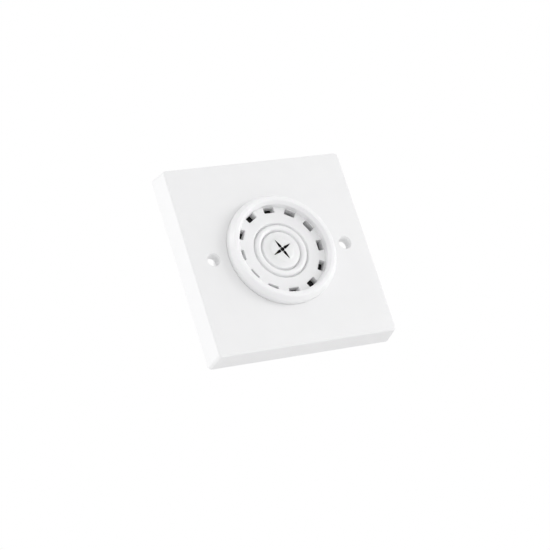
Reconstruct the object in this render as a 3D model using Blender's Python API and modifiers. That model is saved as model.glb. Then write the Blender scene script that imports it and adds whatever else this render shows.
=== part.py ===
"""A flush alarm siren on a square wall plate.

The part stands as it hangs on a wall: +Z up, +Y into the wall, its front facing -Y, and its origin at the
centre of the plate's rear rim. Every piece is modelled in the plate's own frame, in which x runs right,
y runs up and z stands out of the wall. One empty, plate_frame, turns that frame upright. Sizes are in
millimetres here and become metres in the mesh helpers.
"""

import math

import bmesh
import bpy
from mathutils import Matrix, Vector

MM = 0.001
GAP = 0.3  # between pieces that touch
FINE_GAP = 0.1  # between the thin discs of the diaphragm
MERGE = 1e-6  # metres
SMOOTH_ANGLE = math.radians(35)

# Wall plate
PLATE_BACK = 83.1  # side of the rear outline
PLATE_FRONT = 80.9  # side of the front face: the sides lean out towards the wall
PLATE_DEPTH = 10.5
PLATE_CORNER = 1.6
PLATE_EDGE = 0.7
PLATE_WALL = 2.4
FACE_THICK = 2.5
FIXING_SPACING = 60.3
FIXING_HOLE_R = 2.35
COUNTERSINK_R = 2.9
COUNTERSINK_DEEP = 0.9
PAD_R = 4.2
PAD_HIGH = 1.8  # the pad behind each fixing hole
RIB_THICK = 1.2
RIB_FOOT = 3.0  # height of a rib's rear edge above the wall
OPENING_R = 21.3

# Levels, as heights above the wall plane
FACE = PLATE_DEPTH
FACE_REAR = FACE - FACE_THICK

# Grille: radii, and heights above the plate's face
LIP_R = 23.6
LIP_FOOT_R = 23.4
LIP_HIGH = 5.1
LIP_CREST_R = 21.9
FUNNEL_LOW = 3.2  # the dish's wall stands up to here, and a funnel opens from it to the lip
DISH_R = 19.3
FLOOR_HIGH = 1.0
FLOOR_LOW = -1.0
SLOT_FLOOR_LOW = -2.5  # the floor is thicker round the slots
SLOT_FLOOR_R = 14.8
GROOVE_R = (8.5, 11.6)
GROOVE_LOW = -0.3
GROOVE_HALF = 0.5
DISC_R = 4.6
DISC_HIGH = 1.8
DISC_LOW = 0.6
SLOT_COUNT = 12
SLOT_IN_R = 16.55
SLOT_OUT_R = 19.0
SLOT_WIDE = 4.6
SLOT_CORNER = 0.5
PORT_HOLE_R = 0.9
PORT_ARM_IN_R = 1.2
PORT_ARM_OUT_R = 4.5
PORT_ARM_WIDE = 1.2
PORT_ARM_TIP = 0.12
PORT_TURN = math.radians(25)
NECK_R = 20.9
NECK_BORE_R = 19.75
NECK_LOW = -12.0
KEY_WIDE = 2.4
KEY_HIGH = 0.7

# Ring nut
NUT_R = 24.5
NUT_BORE_R = NECK_R + 0.2
NUT_THICK = 5.0
NUT_GRIPS = 8

# Can behind the plate, as depths behind the plate's face
CAN_SPIGOT_R = 19.45
CAN_R = 20.9
CAN_BORE_R = 18.2
CAN_TOP = 4.9
CAN_SHOULDER = -NECK_LOW + GAP
CAN_REAR = 19.5
LEDGE_R = 16.2
LEDGE_TOP = 8.1
LEDGE_THICK = 1.4
PILLAR_R = 2.8
PILLAR_TOP = 10.5
SCREW_CIRCLE_R = 15.6
SCREW_ANGLES = (90, 210, 330)
BOARD_TOP = 17.9
BOARD_THICK = 1.6
BOARD_R = 17.7
BOARD_REAR = BOARD_TOP + BOARD_THICK
COVER_TOP = CAN_REAR + GAP
COVER_THICK = 1.6
COVER_REAR = COVER_TOP + COVER_THICK
COVER_SCREW_R = 1.05
COVER_SCREW_HEAD_R = 2.2
COVER_SCREW_LONG = 9.0

# Diaphragm stack, as depths behind the plate's face
BRASS_R = 17.7
BRASS_THICK = 0.3
BRASS_TOP = 6.6
CERAMIC_R = 12.5
CERAMIC_THICK = 0.25
BAFFLE_THICK = 1.0
BAFFLE_HOLE_R = 2.2
BAFFLE_COLLAR_R = 10.5
BAFFLE_COLLAR = 1.1  # how far the collar stands out
LEAD_R = 0.45

# Parts on the board: the coil's heights are above the board
COIL_AT = (-6.2, -5.4)
COIL_FLANGE_R = 3.9
COIL_CORE_R = 1.8
COIL_HIGH = 8.0
COIL_FLANGE = 1.1
COIL_WIRE_R = 3.3
PIN_PITCH = 2.54
IC_HALF = (4.8, 3.1)
IC_Z = (0.6, 3.8)
IC_LEG_HALF = 0.35
TRANSISTOR_R = 2.3
AXIAL_HIGH = 1.7  # a resistor's axis above the board

# Terminal block: its own frame stands on the board's rear face, with z towards the rear and y down
WAYS = 4
PITCH = 5.08
BLOCK_WIDE = WAYS * PITCH + 1.0
BLOCK_Y = (-4.0, 4.2)
BLOCK_HIGH = 11.4
BLOCK_CENTRE_Y = -5.5  # in the plate's frame
TERMINAL_AXIS_Y = -0.2
WELL_HALF = 1.95
WELL_Y = (-2.4, 2.0)
WELL_HIGH = 8.6
ENTRY_HALF = 1.6
ENTRY_Z = (2.2, 5.2)
CLAMP_HALF = 1.7
CLAMP_WALL = 0.5
CLAMP_Y = (-2.1, 1.7)
CLAMP_Z = (1.8, 6.5)
CLAMP_BAR = 0.6
CLAMP_TOP = 1.0
CONTACT_Z = (4.3, 4.9)
TERMINAL_HEAD_R = 1.7
TERMINAL_HEAD_Z = (9.5, 10.8)
TERMINAL_SHANK_R = 1.1
TERMINAL_TIP_Z = CONTACT_Z[1] + GAP

# Faces around each kind of round piece
FINE, MEDIUM, COARSE, SMALL = 48, 32, 16, 10


# ---------------------------------------------------------------- scene, collections, materials


def clear_scene():
    for obj in list(bpy.data.objects):
        bpy.data.objects.remove(obj, do_unlink=True)


def new_collection(name, hidden=False):
    collection = bpy.data.collections.new(name)
    collection.hide_render = hidden
    bpy.context.scene.collection.children.link(collection)
    return collection


def new_frame(name, at, turn, parent=None):
    """An empty that carries pieces; its own frame is their drawing frame."""
    empty = bpy.data.objects.new(name, None)
    empty.empty_display_size = 5 * MM
    empty.parent = parent
    empty.location = Vector(at) * MM
    empty.rotation_euler = turn
    PARTS.objects.link(empty)
    return empty


def material(name, colour, roughness, metallic=0.0):
    found = bpy.data.materials.get(name)
    if found:
        return found
    made = bpy.data.materials.new(name)
    made.use_nodes = True
    shader = made.node_tree.nodes["Principled BSDF"]
    shader.inputs["Base Color"].default_value = (*colour, 1.0)
    shader.inputs["Roughness"].default_value = roughness
    shader.inputs["Metallic"].default_value = metallic
    made.diffuse_color = (*colour, 1.0)
    return made


def white_plastic():
    return material("white_plastic", (0.86, 0.86, 0.87), 0.38)


def grille_plastic():
    return material("grille_plastic", (0.87, 0.87, 0.88), 0.36)


def black_plastic():
    return material("black_plastic", (0.03, 0.03, 0.032), 0.45)


def steel():
    return material("plated_steel", (0.62, 0.62, 0.6), 0.3, 1.0)


def brass():
    return material("brass", (0.78, 0.57, 0.25), 0.3, 1.0)


# ---------------------------------------------------------------- shapes, as meshes in metres


def finished(bm, name, smooth=True):
    """Turns a bmesh drawn in millimetres into a closed, outward-facing mesh in metres."""
    bmesh.ops.scale(bm, vec=(MM, MM, MM), verts=bm.verts)
    bmesh.ops.recalc_face_normals(bm, faces=bm.faces)
    mesh = bpy.data.meshes.new(name)
    bm.to_mesh(mesh)
    bm.free()
    if smooth:
        mesh.shade_smooth()
        mesh.set_sharp_from_angle(angle=SMOOTH_ANGLE)
    return mesh


def box_mesh(name, low, high):
    bm = bmesh.new()
    bmesh.ops.create_cube(bm, size=1.0)
    low, high = Vector(low), Vector(high)
    bmesh.ops.scale(bm, vec=high - low, verts=bm.verts)
    bmesh.ops.translate(bm, vec=(low + high) / 2, verts=bm.verts)
    return finished(bm, name, smooth=False)


def cylinder_mesh(name, low, high, radius, top_radius=None, segments=MEDIUM):
    """A cylinder or cone along z, from height low to height high."""
    bm = bmesh.new()
    bmesh.ops.create_cone(
        bm,
        cap_ends=True,
        segments=segments,
        radius1=radius,
        radius2=radius if top_radius is None else top_radius,
        depth=high - low,
    )
    bmesh.ops.translate(bm, vec=(0, 0, (low + high) / 2), verts=bm.verts)
    return finished(bm, name)


def tapered_block_mesh(name, low, high, rear_half, front_half, corner, edge, segments=6):
    """A square block that narrows from low to high, with round corners and a rolled front edge."""
    bm = bmesh.new()
    bmesh.ops.create_cube(bm, size=2.0)
    for vert in bm.verts:
        half = front_half if vert.co.z > 0 else rear_half
        vert.co = (vert.co.x * half, vert.co.y * half, high if vert.co.z > 0 else low)
    upright = [e for e in bm.edges if abs(e.verts[0].co.z - e.verts[1].co.z) > (high - low) / 2]
    bmesh.ops.bevel(bm, geom=upright, offset=corner, segments=segments, profile=0.5, affect="EDGES")
    if edge:
        rim = [e for e in bm.edges if min(v.co.z for v in e.verts) > high - MERGE]
        bmesh.ops.bevel(bm, geom=rim, offset=edge, segments=3, profile=0.5, affect="EDGES")
    return finished(bm, name)


def turned_mesh(name, profile, segments=MEDIUM, closed=False):
    """A solid turned about z from (radius, height) points.

    An open profile starts on the axis at the front and ends on it at the rear. A closed one is a ring's
    section, and runs down its outer side.
    """
    mesh = bpy.data.meshes.new(name)
    points = [(radius * MM, 0.0, height * MM) for radius, height in profile]
    edges = [(i, i + 1) for i in range(len(points) - 1)]
    if closed:
        edges.append((len(points) - 1, 0))
    mesh.from_pydata(points, edges, [])
    guide = bpy.data.objects.new(name + "_profile", mesh)
    CUTTERS.objects.link(guide)
    screw = guide.modifiers.new("turn", "SCREW")
    screw.axis = "Z"
    screw.steps = segments
    screw.render_steps = segments
    screw.use_merge_vertices = True
    screw.merge_threshold = MERGE
    made = evaluated_mesh(guide)
    bpy.data.objects.remove(guide)
    made.name = name
    made.shade_smooth()
    made.set_sharp_from_angle(angle=SMOOTH_ANGLE)
    return made


def ring_mesh(name, inner, outer, low, high, segments=MEDIUM):
    profile = [(outer, high), (outer, low), (inner, low), (inner, high)]
    return turned_mesh(name, profile, segments, closed=True)


def outline_mesh(name, points, low, high):
    """A flat outline drawn in x and y, extruded from height low to height high."""
    curve = bpy.data.curves.new(name, "CURVE")
    curve.dimensions = "2D"
    curve.fill_mode = "BOTH"
    curve.extrude = (high - low) / 2 * MM
    add_spline(curve, [(x, y, 0.0) for x, y in points], closed=True)
    return mesh_of_curve(curve, (0, 0, (low + high) / 2))


def wire_mesh(name, points, radius):
    return mesh_of_curve(wire_curve(name, points, radius), (0, 0, 0))


def wire_curve(name, points, radius):
    curve = bpy.data.curves.new(name, "CURVE")
    curve.dimensions = "3D"
    curve.bevel_depth = radius * MM
    curve.bevel_resolution = 2
    curve.use_fill_caps = True
    add_spline(curve, points, closed=False)
    return curve


def add_spline(curve, points, closed):
    spline = curve.splines.new("POLY")
    spline.points.add(len(points) - 1)
    for point, place in zip(spline.points, points):
        point.co = (*(Vector(place) * MM), 1.0)
    spline.use_cyclic_u = closed


def evaluated_mesh(obj):
    bpy.context.view_layer.update()
    graph = bpy.context.evaluated_depsgraph_get()
    return bpy.data.meshes.new_from_object(obj.evaluated_get(graph))


def mesh_of_curve(curve, at):
    """The curve as a mesh with its caps welded on, moved by at, in millimetres."""
    guide = bpy.data.objects.new(curve.name, curve)
    CUTTERS.objects.link(guide)
    mesh = evaluated_mesh(guide)
    bpy.data.objects.remove(guide)
    bm = bmesh.new()
    bm.from_mesh(mesh)
    bmesh.ops.remove_doubles(bm, verts=bm.verts, dist=MERGE)
    bmesh.ops.translate(bm, vec=Vector(at) * MM, verts=bm.verts)
    bmesh.ops.recalc_face_normals(bm, faces=bm.faces)
    bm.to_mesh(mesh)
    bm.free()
    mesh.shade_smooth()
    mesh.set_sharp_from_angle(angle=SMOOTH_ANGLE)
    return mesh


def smooth_route(points, steps=5):
    """A Catmull-Rom curve read through the route's own points."""
    route = [Vector(p) for p in (points[0], *points, points[-1])]
    read = []
    for i in range(1, len(route) - 2):
        before, start, end, after = route[i - 1 : i + 3]
        for step in range(steps):
            t = step / steps
            read.append(
                0.5
                * (
                    2 * start
                    + (end - before) * t
                    + (2 * before - 5 * start + 4 * end - after) * t**2
                    + (3 * start - before - 3 * end + after) * t**3
                )
            )
    read.append(route[-1])
    return read


def rounded_rectangle(centre, wide, tall, corner, steps=3):
    """The corners of a rectangle as arcs, anticlockwise."""
    points = []
    for quarter, (sx, sy) in enumerate(((1, 1), (-1, 1), (-1, -1), (1, -1))):
        x = centre[0] + sx * (wide / 2 - corner)
        y = centre[1] + sy * (tall / 2 - corner)
        for step in range(steps + 1):
            angle = (quarter + step / steps) * math.pi / 2
            points.append((x + corner * math.cos(angle), y + corner * math.sin(angle)))
    return points


def turned_about(points, angle):
    cos, sin = math.cos(angle), math.sin(angle)
    return [(x * cos - y * sin, x * sin + y * cos) for x, y in points]


# ---------------------------------------------------------------- objects


def part(name, data, look, at=(0, 0, 0), turn=(0, 0, 0), parent=None):
    data.materials.clear()
    data.materials.append(look)
    obj = bpy.data.objects.new(name, data)
    obj.parent = parent or PLATE_FRAME
    obj.location = Vector(at) * MM
    obj.rotation_euler = turn
    PARTS.objects.link(obj)
    return obj


def helper(data, at=(0, 0, 0), turn=(0, 0, 0), parent=None):
    """A shape that a Boolean cuts with or joins on; it isn't a piece."""
    obj = bpy.data.objects.new(data.name, data)
    obj.parent = parent or PLATE_FRAME
    obj.location = Vector(at) * MM
    obj.rotation_euler = turn
    obj.hide_render = True
    obj.display_type = "WIRE"
    CUTTERS.objects.link(obj)
    return obj


def boolean(target, helpers, operation):
    for other in helpers:
        modifier = target.modifiers.new(other.name, "BOOLEAN")
        modifier.operation = operation
        modifier.solver = "EXACT"
        modifier.object = other


def cut(target, *helpers):
    boolean(target, helpers, "DIFFERENCE")


def join(target, *helpers):
    boolean(target, helpers, "UNION")


def on_circle(radius, degrees):
    angle = math.radians(degrees)
    return radius * math.cos(angle), radius * math.sin(angle)


# ---------------------------------------------------------------- wall plate


def half_side(height):
    """Half the plate's outer side at a height above the wall."""
    return (PLATE_BACK + (PLATE_FRONT - PLATE_BACK) * height / PLATE_DEPTH) / 2


def build_faceplate():
    shell = tapered_block_mesh(
        "faceplate", 0, FACE, half_side(0), half_side(FACE), PLATE_CORNER, PLATE_EDGE
    )
    plate = part("faceplate", shell, white_plastic())
    below = -1.0
    hollow = tapered_block_mesh(
        "plate_hollow",
        below,
        FACE_REAR,
        half_side(below) - PLATE_WALL,
        half_side(FACE_REAR) - PLATE_WALL,
        PLATE_CORNER / 2,
        0,
        segments=3,
    )
    cut(plate, helper(hollow))
    into_face = FACE_REAR + FACE_THICK / 2
    for side in (-1, 1):
        pad = cylinder_mesh("pad", FACE_REAR - PAD_HIGH, into_face, PAD_R, segments=24)
        join(plate, helper(pad, (side * FIXING_SPACING / 2, 0, 0)))
    corner_r = math.sqrt(2) * (half_side(0) - PLATE_WALL / 2) - PLATE_CORNER / 2
    for quarter in range(4):
        rib = box_mesh(
            "corner_rib",
            (NUT_R + 2.0, -RIB_THICK / 2, RIB_FOOT),
            (corner_r, RIB_THICK / 2, into_face),
        )
        join(plate, helper(rib, turn=(0, 0, math.pi * (0.25 + quarter / 2))))
    opening = cylinder_mesh("plate_opening", FACE_REAR - 1, FACE + 1, OPENING_R, segments=FINE)
    notch = box_mesh(
        "key_notch",
        (-KEY_WIDE / 2 - GAP, -NECK_R - KEY_HIGH - GAP, FACE_REAR - 1),
        (KEY_WIDE / 2 + GAP, -NECK_R + 2, FACE + 1),
    )
    cut(plate, helper(opening), helper(notch))
    clear = 0.5
    clear_r = COUNTERSINK_R + (COUNTERSINK_R - FIXING_HOLE_R) * clear / COUNTERSINK_DEEP
    for side in (-1, 1):
        centre = (side * FIXING_SPACING / 2, 0, 0)
        hole = cylinder_mesh("fixing_hole", -1, FACE + 1, FIXING_HOLE_R, segments=24)
        sink = cylinder_mesh(
            "countersink", FACE - COUNTERSINK_DEEP, FACE + clear, FIXING_HOLE_R, clear_r, segments=24
        )
        cut(plate, helper(hole, centre), helper(sink, centre))


# ---------------------------------------------------------------- grille, gasket, nut


def grille_profile():
    """From the axis across the dish, over the lip, down the neck and back under the floor to the axis."""
    inner_groove, outer_groove = GROOVE_R
    crest_r = (inner_groove + outer_groove) / 2
    dish = [
        (0, DISC_HIGH),
        (DISC_R, DISC_HIGH),
        (DISC_R + 1.0, FLOOR_HIGH + 0.4),
        (inner_groove - GROOVE_HALF, FLOOR_HIGH),
        (inner_groove, GROOVE_LOW),
        (inner_groove + GROOVE_HALF, FLOOR_HIGH),
        (crest_r, FLOOR_HIGH + 0.3),
        (outer_groove - GROOVE_HALF, FLOOR_HIGH),
        (outer_groove, GROOVE_LOW),
        (outer_groove + GROOVE_HALF, FLOOR_HIGH),
        (DISH_R, FLOOR_HIGH),
    ]
    lip = [
        (DISH_R, FUNNEL_LOW),
        (DISH_R + 0.3, FUNNEL_LOW + 0.25),
        (LIP_CREST_R - 0.4, LIP_HIGH - 0.2),
        (LIP_CREST_R, LIP_HIGH),
        (LIP_R - 1.0, LIP_HIGH - 0.9),
        (LIP_R - 0.3, LIP_HIGH - 2.1),
        (LIP_R, LIP_HIGH - 3.5),
        (LIP_FOOT_R, GAP),
    ]
    rear = [
        (LIP_FOOT_R - 0.4, GAP),
        (LIP_FOOT_R - 0.4, 0.9),
        (NECK_R, 0.9),
        (NECK_R, NECK_LOW),
        (NECK_BORE_R, NECK_LOW),
        (NECK_BORE_R, SLOT_FLOOR_LOW),
        (SLOT_FLOOR_R, SLOT_FLOOR_LOW),
        (SLOT_FLOOR_R, FLOOR_LOW),
        (DISC_R + 0.6, FLOOR_LOW),
        (DISC_R + 0.2, DISC_LOW),
        (0, DISC_LOW),
    ]
    return [(radius, FACE + height) for radius, height in dish + lip + rear]


def build_grille():
    grille = part("siren_grille", turned_mesh("siren_grille", grille_profile(), FINE), grille_plastic())
    low, high = FACE + SLOT_FLOOR_LOW - 0.5, FACE + FLOOR_HIGH + 1.5
    slot = rounded_rectangle(
        ((SLOT_IN_R + SLOT_OUT_R) / 2, 0), SLOT_OUT_R - SLOT_IN_R, SLOT_WIDE, SLOT_CORNER
    )
    for index in range(SLOT_COUNT):
        outline = turned_about(slot, index * math.tau / SLOT_COUNT)
        cut(grille, helper(outline_mesh(f"slot_{index}", outline, low, high)))
    half = PORT_ARM_WIDE / 2
    arm = [
        (PORT_ARM_IN_R, -half * 0.6),
        (PORT_ARM_IN_R + 0.5, -half),
        (PORT_ARM_OUT_R, -PORT_ARM_TIP / 2),
        (PORT_ARM_OUT_R, PORT_ARM_TIP / 2),
        (PORT_ARM_IN_R + 0.5, half),
        (PORT_ARM_IN_R, half * 0.6),
    ]
    for index in range(4):
        outline = turned_about(arm, PORT_TURN + index * math.tau / 4)
        cut(grille, helper(outline_mesh(f"port_arm_{index}", outline, FACE, high)))
    cut(grille, helper(cylinder_mesh("port_hole", FACE, high, PORT_HOLE_R, segments=SMALL)))
    key = box_mesh(
        "neck_key",
        (-KEY_WIDE / 2, -NECK_R - KEY_HIGH, FACE_REAR + GAP),
        (KEY_WIDE / 2, -NECK_R + 0.6, FACE + 1.2),
    )
    join(grille, helper(key))


def build_gasket():
    ring = ring_mesh("bezel_gasket", NECK_R + KEY_HIGH + 0.2, LIP_FOOT_R - 0.6, FACE + 0.1, FACE + 0.7)
    part("bezel_gasket", ring, material("gasket_rubber", (0.05, 0.05, 0.05), 0.7))


def build_ring_nut():
    top = FACE_REAR - GAP
    low = top - NUT_THICK
    profile = [
        (NUT_R - 0.4, top),
        (NUT_R, top - 0.4),
        (NUT_R, low + 0.6),
        (NUT_R - 0.6, low),
        (NUT_BORE_R + 0.3, low),
        (NUT_BORE_R, low + 0.3),
        (NUT_BORE_R, top),
    ]
    nut = part("ring_nut", turned_mesh("ring_nut", profile, closed=True), white_plastic())
    grip = cylinder_mesh("grip", low - 1, top - 1.4, 1.6, segments=SMALL)
    for index in range(NUT_GRIPS):
        cut(nut, helper(grip, (*on_circle(NUT_R + 0.6, index * 360 / NUT_GRIPS), 0)))


# ---------------------------------------------------------------- can, cover and board


def build_can():
    bore, ledge_low = CAN_BORE_R, LEDGE_TOP + LEDGE_THICK
    section = [
        (CAN_SPIGOT_R, CAN_TOP),
        (CAN_SPIGOT_R, CAN_SHOULDER),
        (CAN_R, CAN_SHOULDER),
        (CAN_R, CAN_REAR),
        (bore, CAN_REAR),
        (bore, ledge_low),
        (LEDGE_R, ledge_low),
        (LEDGE_R, LEDGE_TOP),
        (bore, LEDGE_TOP),
        (bore, CAN_TOP),
    ]
    profile = [(radius, FACE - depth) for radius, depth in section]
    can = part("siren_can", turned_mesh("siren_can", profile, closed=True), white_plastic())
    low, high = FACE - BOARD_TOP + GAP, FACE - PILLAR_TOP
    for degrees in SCREW_ANGLES:
        place = (*on_circle(SCREW_CIRCLE_R, degrees), 0)
        join(can, helper(cylinder_mesh("pillar", low, high, PILLAR_R, segments=COARSE), place))
        pilot = cylinder_mesh("pilot_hole", low - 1, high - 2, COVER_SCREW_R + 0.15, segments=SMALL)
        cut(can, helper(pilot, place))


def build_rear_cover():
    top, rear = FACE - COVER_TOP, FACE - COVER_REAR
    profile = [(0, top), (CAN_R, top), (CAN_R, rear + 0.5), (CAN_R - 0.5, rear), (0, rear)]
    cover = part("rear_cover", turned_mesh("rear_cover", profile), white_plastic())
    for degrees in SCREW_ANGLES:
        place = (*on_circle(SCREW_CIRCLE_R, degrees), 0)
        post = cylinder_mesh("cover_post", FACE - BOARD_REAR - GAP, rear + 0.3, 2.2, segments=COARSE)
        join(cover, helper(post, place))
    for degrees in SCREW_ANGLES:
        place = (*on_circle(SCREW_CIRCLE_R, degrees), 0)
        hole = cylinder_mesh("cover_hole", rear - 1, top + 3, COVER_SCREW_R + 0.25, segments=SMALL)
        cut(cover, helper(hole, place))
    window = box_mesh(
        "terminal_window",
        (-BLOCK_WIDE / 2 - GAP, BLOCK_CENTRE_Y - BLOCK_Y[1] - GAP, rear - 1),
        (BLOCK_WIDE / 2 + GAP, BLOCK_CENTRE_Y - BLOCK_Y[0] + GAP, top + 1),
    )
    cut(cover, helper(window))


def pan_screw_mesh(name, head_r, head_high, shank_r, shank_long, segments):
    """A screw along z, its head's bearing face at 0, its head above."""
    profile = [
        (0, head_high),
        (head_r * 0.6, head_high - 0.1),
        (head_r, head_high * 0.45),
        (head_r, 0),
        (shank_r, 0),
        (shank_r, 0.6 - shank_long),
        (0, -shank_long),
    ]
    return turned_mesh(name, profile, segments)


def build_cover_screws():
    for index, degrees in enumerate(SCREW_ANGLES, 1):
        name = f"cover_screw_{index}"
        mesh = pan_screw_mesh(name, COVER_SCREW_HEAD_R, 1.5, COVER_SCREW_R, COVER_SCREW_LONG, 16)
        place = (*on_circle(SCREW_CIRCLE_R, degrees), FACE - COVER_REAR - GAP)
        screw = part(name, mesh, steel(), place, (math.pi, 0, 0))
        for turn in (0, math.pi / 2):
            slot = box_mesh("cross_slot", (-1.3, -0.25, 0.6), (1.3, 0.25, 2.5))
            cut(screw, helper(slot, turn=(0, 0, turn + 0.4 * index), parent=screw))


def build_board():
    low, high = FACE - BOARD_REAR, FACE - BOARD_TOP
    board = part(
        "circuit_board",
        cylinder_mesh("circuit_board", low, high, BOARD_R),
        material("board_laminate", (0.03, 0.16, 0.07), 0.4),
    )
    hole = cylinder_mesh("board_hole", low - 1, high + 1, COVER_SCREW_R + 0.3, segments=SMALL)
    for degrees in SCREW_ANGLES:
        cut(board, helper(hole, (*on_circle(SCREW_CIRCLE_R, degrees), 0)))


# ---------------------------------------------------------------- sound parts


def build_baffle():
    """A plate with a sound hole at its centre and a tuning collar behind it."""
    top = -SLOT_FLOOR_LOW + 0.9
    low = top + BAFFLE_THICK
    collar_low = low + BAFFLE_COLLAR
    section = [
        (BAFFLE_HOLE_R, top),
        (CAN_SPIGOT_R, top),
        (CAN_SPIGOT_R, low),
        (BAFFLE_COLLAR_R, low),
        (BAFFLE_COLLAR_R, collar_low),
        (BAFFLE_COLLAR_R - BAFFLE_THICK, collar_low),
        (BAFFLE_COLLAR_R - BAFFLE_THICK, low),
        (BAFFLE_HOLE_R, low),
    ]
    profile = [(radius, FACE - depth) for radius, depth in section]
    part("acoustic_baffle", turned_mesh("acoustic_baffle", profile, closed=True), black_plastic())


def build_diaphragm():
    """The brass disc, the ceramic disc behind it, and the two rings that hold the brass at its rim."""
    ring_r = CAN_BORE_R - GAP
    brass_low = BRASS_TOP + BRASS_THICK
    behind = brass_low + FINE_GAP
    clamp = ring_mesh("diaphragm_clamp", LEDGE_R + 0.3, ring_r, FACE - BRASS_TOP + GAP, FACE - CAN_TOP)
    part("diaphragm_clamp", clamp, black_plastic())
    disc = cylinder_mesh("brass_diaphragm", FACE - brass_low, FACE - BRASS_TOP, BRASS_R)
    part("brass_diaphragm", disc, brass())
    disc = cylinder_mesh("piezo_ceramic", FACE - behind - CERAMIC_THICK, FACE - behind, CERAMIC_R)
    part("piezo_ceramic", disc, material("silvered_ceramic", (0.75, 0.74, 0.7), 0.35))
    seat = ring_mesh("diaphragm_seat", LEDGE_R, ring_r, FACE - LEDGE_TOP + GAP, FACE - behind)
    part("diaphragm_seat", seat, material("seat_rubber", (0.06, 0.06, 0.06), 0.7))


def build_leads():
    """The wires from the ceramic and from the brass to the board."""
    start = FACE - BRASS_TOP - BRASS_THICK - FINE_GAP - CERAMIC_THICK - GAP - 0.5
    end = FACE - BOARD_TOP + GAP
    red = [
        (3.0, 4.0, start),
        (6.0, 4.5, start - 0.6),
        (10.5, 4.0, start - 3),
        (12.2, 2.5, start - 7),
        (12.0, 2.0, end),
    ]
    black = [
        (13.9, 0.0, start + 0.4),
        (14.2, -0.6, start - 2),
        (14.6, -1.6, start - 5),
        (14.2, -2.4, start - 8),
        (14.0, -2.5, end),
    ]
    for colour, route, paint in (("red", red, (0.6, 0.03, 0.03)), ("black", black, (0.02, 0.02, 0.02))):
        name = f"piezo_lead_{colour}"
        curve = wire_curve(name, smooth_route(route, 4), LEAD_R)
        part(name, curve, material(name + "_pvc", paint, 0.45))


# ---------------------------------------------------------------- parts on the board


def on_board(name, mesh, look, at, turn=0.0):
    """A component that stands on the board's front face; its mesh has z = 0 there."""
    return part(name, mesh, look, (*at, FACE - BOARD_TOP + GAP), (0, 0, turn))


def build_coil():
    flange_top = COIL_HIGH - COIL_FLANGE
    core = [
        (0, COIL_HIGH),
        (COIL_FLANGE_R, COIL_HIGH),
        (COIL_FLANGE_R, flange_top),
        (COIL_CORE_R, flange_top),
        (COIL_CORE_R, COIL_FLANGE),
        (COIL_FLANGE_R, COIL_FLANGE),
        (COIL_FLANGE_R, 0),
        (0, 0),
    ]
    ferrite = material("ferrite", (0.07, 0.07, 0.07), 0.5)
    copper = material("enamelled_copper", (0.62, 0.24, 0.1), 0.35, 0.9)
    on_board("coil_core", turned_mesh("coil_core", core, COARSE), ferrite, COIL_AT)
    low, high = COIL_FLANGE + GAP, flange_top - GAP
    winding = ring_mesh("coil_winding", COIL_CORE_R + GAP, COIL_WIRE_R, low, high, COARSE)
    on_board("coil_winding", winding, copper, COIL_AT)


def build_capacitor():
    profile = [(0, 8.2), (2.9, 8.2), (3.15, 7.9), (3.15, 1.9), (2.85, 1.5), (3.15, 1.1), (3.15, 0), (0, 0)]
    can = turned_mesh("capacitor", profile, COARSE)
    on_board("capacitor", can, material("capacitor_sleeve", (0.03, 0.04, 0.12), 0.4), (-8.2, 5.4))


def build_driver_ic():
    half_x, half_y = IC_HALF
    body = box_mesh("driver_ic", (-half_x, -half_y, IC_Z[0]), (half_x, half_y, IC_Z[1]))
    chip = on_board("driver_ic", body, black_plastic(), (3.4, -2.0))
    for side in (-1, 1):
        for column in range(4):
            x = (column - 1.5) * PIN_PITCH
            low_x, high_x = x - IC_LEG_HALF, x + IC_LEG_HALF
            leg_y, shoulder_y = 2.8 * side, 3.3 * side
            shoulder_low, shoulder_high = (low_x, shoulder_y - 0.5, 1.5), (high_x, shoulder_y + 0.5, 2.1)
            leg = box_mesh("leg", (low_x, leg_y - 0.3, 0), (high_x, leg_y + 0.3, 2.0))
            shoulder = box_mesh("leg_shoulder", shoulder_low, shoulder_high)
            join(chip, helper(leg, parent=chip), helper(shoulder, parent=chip))


def build_transistors():
    case = [on_circle(TRANSISTOR_R, degrees) for degrees in range(-45, 226, 30)]
    for index, at in enumerate(((-1.6, 7.0), (-7.2, 11.6)), 1):
        name = f"transistor_{index}"
        body = on_board(name, outline_mesh(name, case, 2.2, 6.8), black_plastic(), at)
        for column in (-1, 0, 1):
            x = column * PIN_PITCH / 2
            leg = box_mesh("transistor_leg", (x - 0.25, -0.25, 0), (x + 0.25, 0.25, 3.0))
            join(body, helper(leg, parent=body))


def axial_mesh(name, length, radius, waist):
    """A body along x with a slight dog-bone waist, lying above the board."""
    half = length / 2
    profile = [
        (0, half),
        (radius, half - 0.4),
        (radius, half - 1.4),
        (waist, half - 1.9),
        (waist, 1.9 - half),
        (radius, 1.4 - half),
        (radius, 0.4 - half),
        (0, -half),
    ]
    mesh = turned_mesh(name, profile, SMALL)
    mesh.transform(Matrix.Translation((0, 0, AXIAL_HIGH * MM)) @ Matrix.Rotation(math.pi / 2, 4, "Y"))
    return mesh


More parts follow.
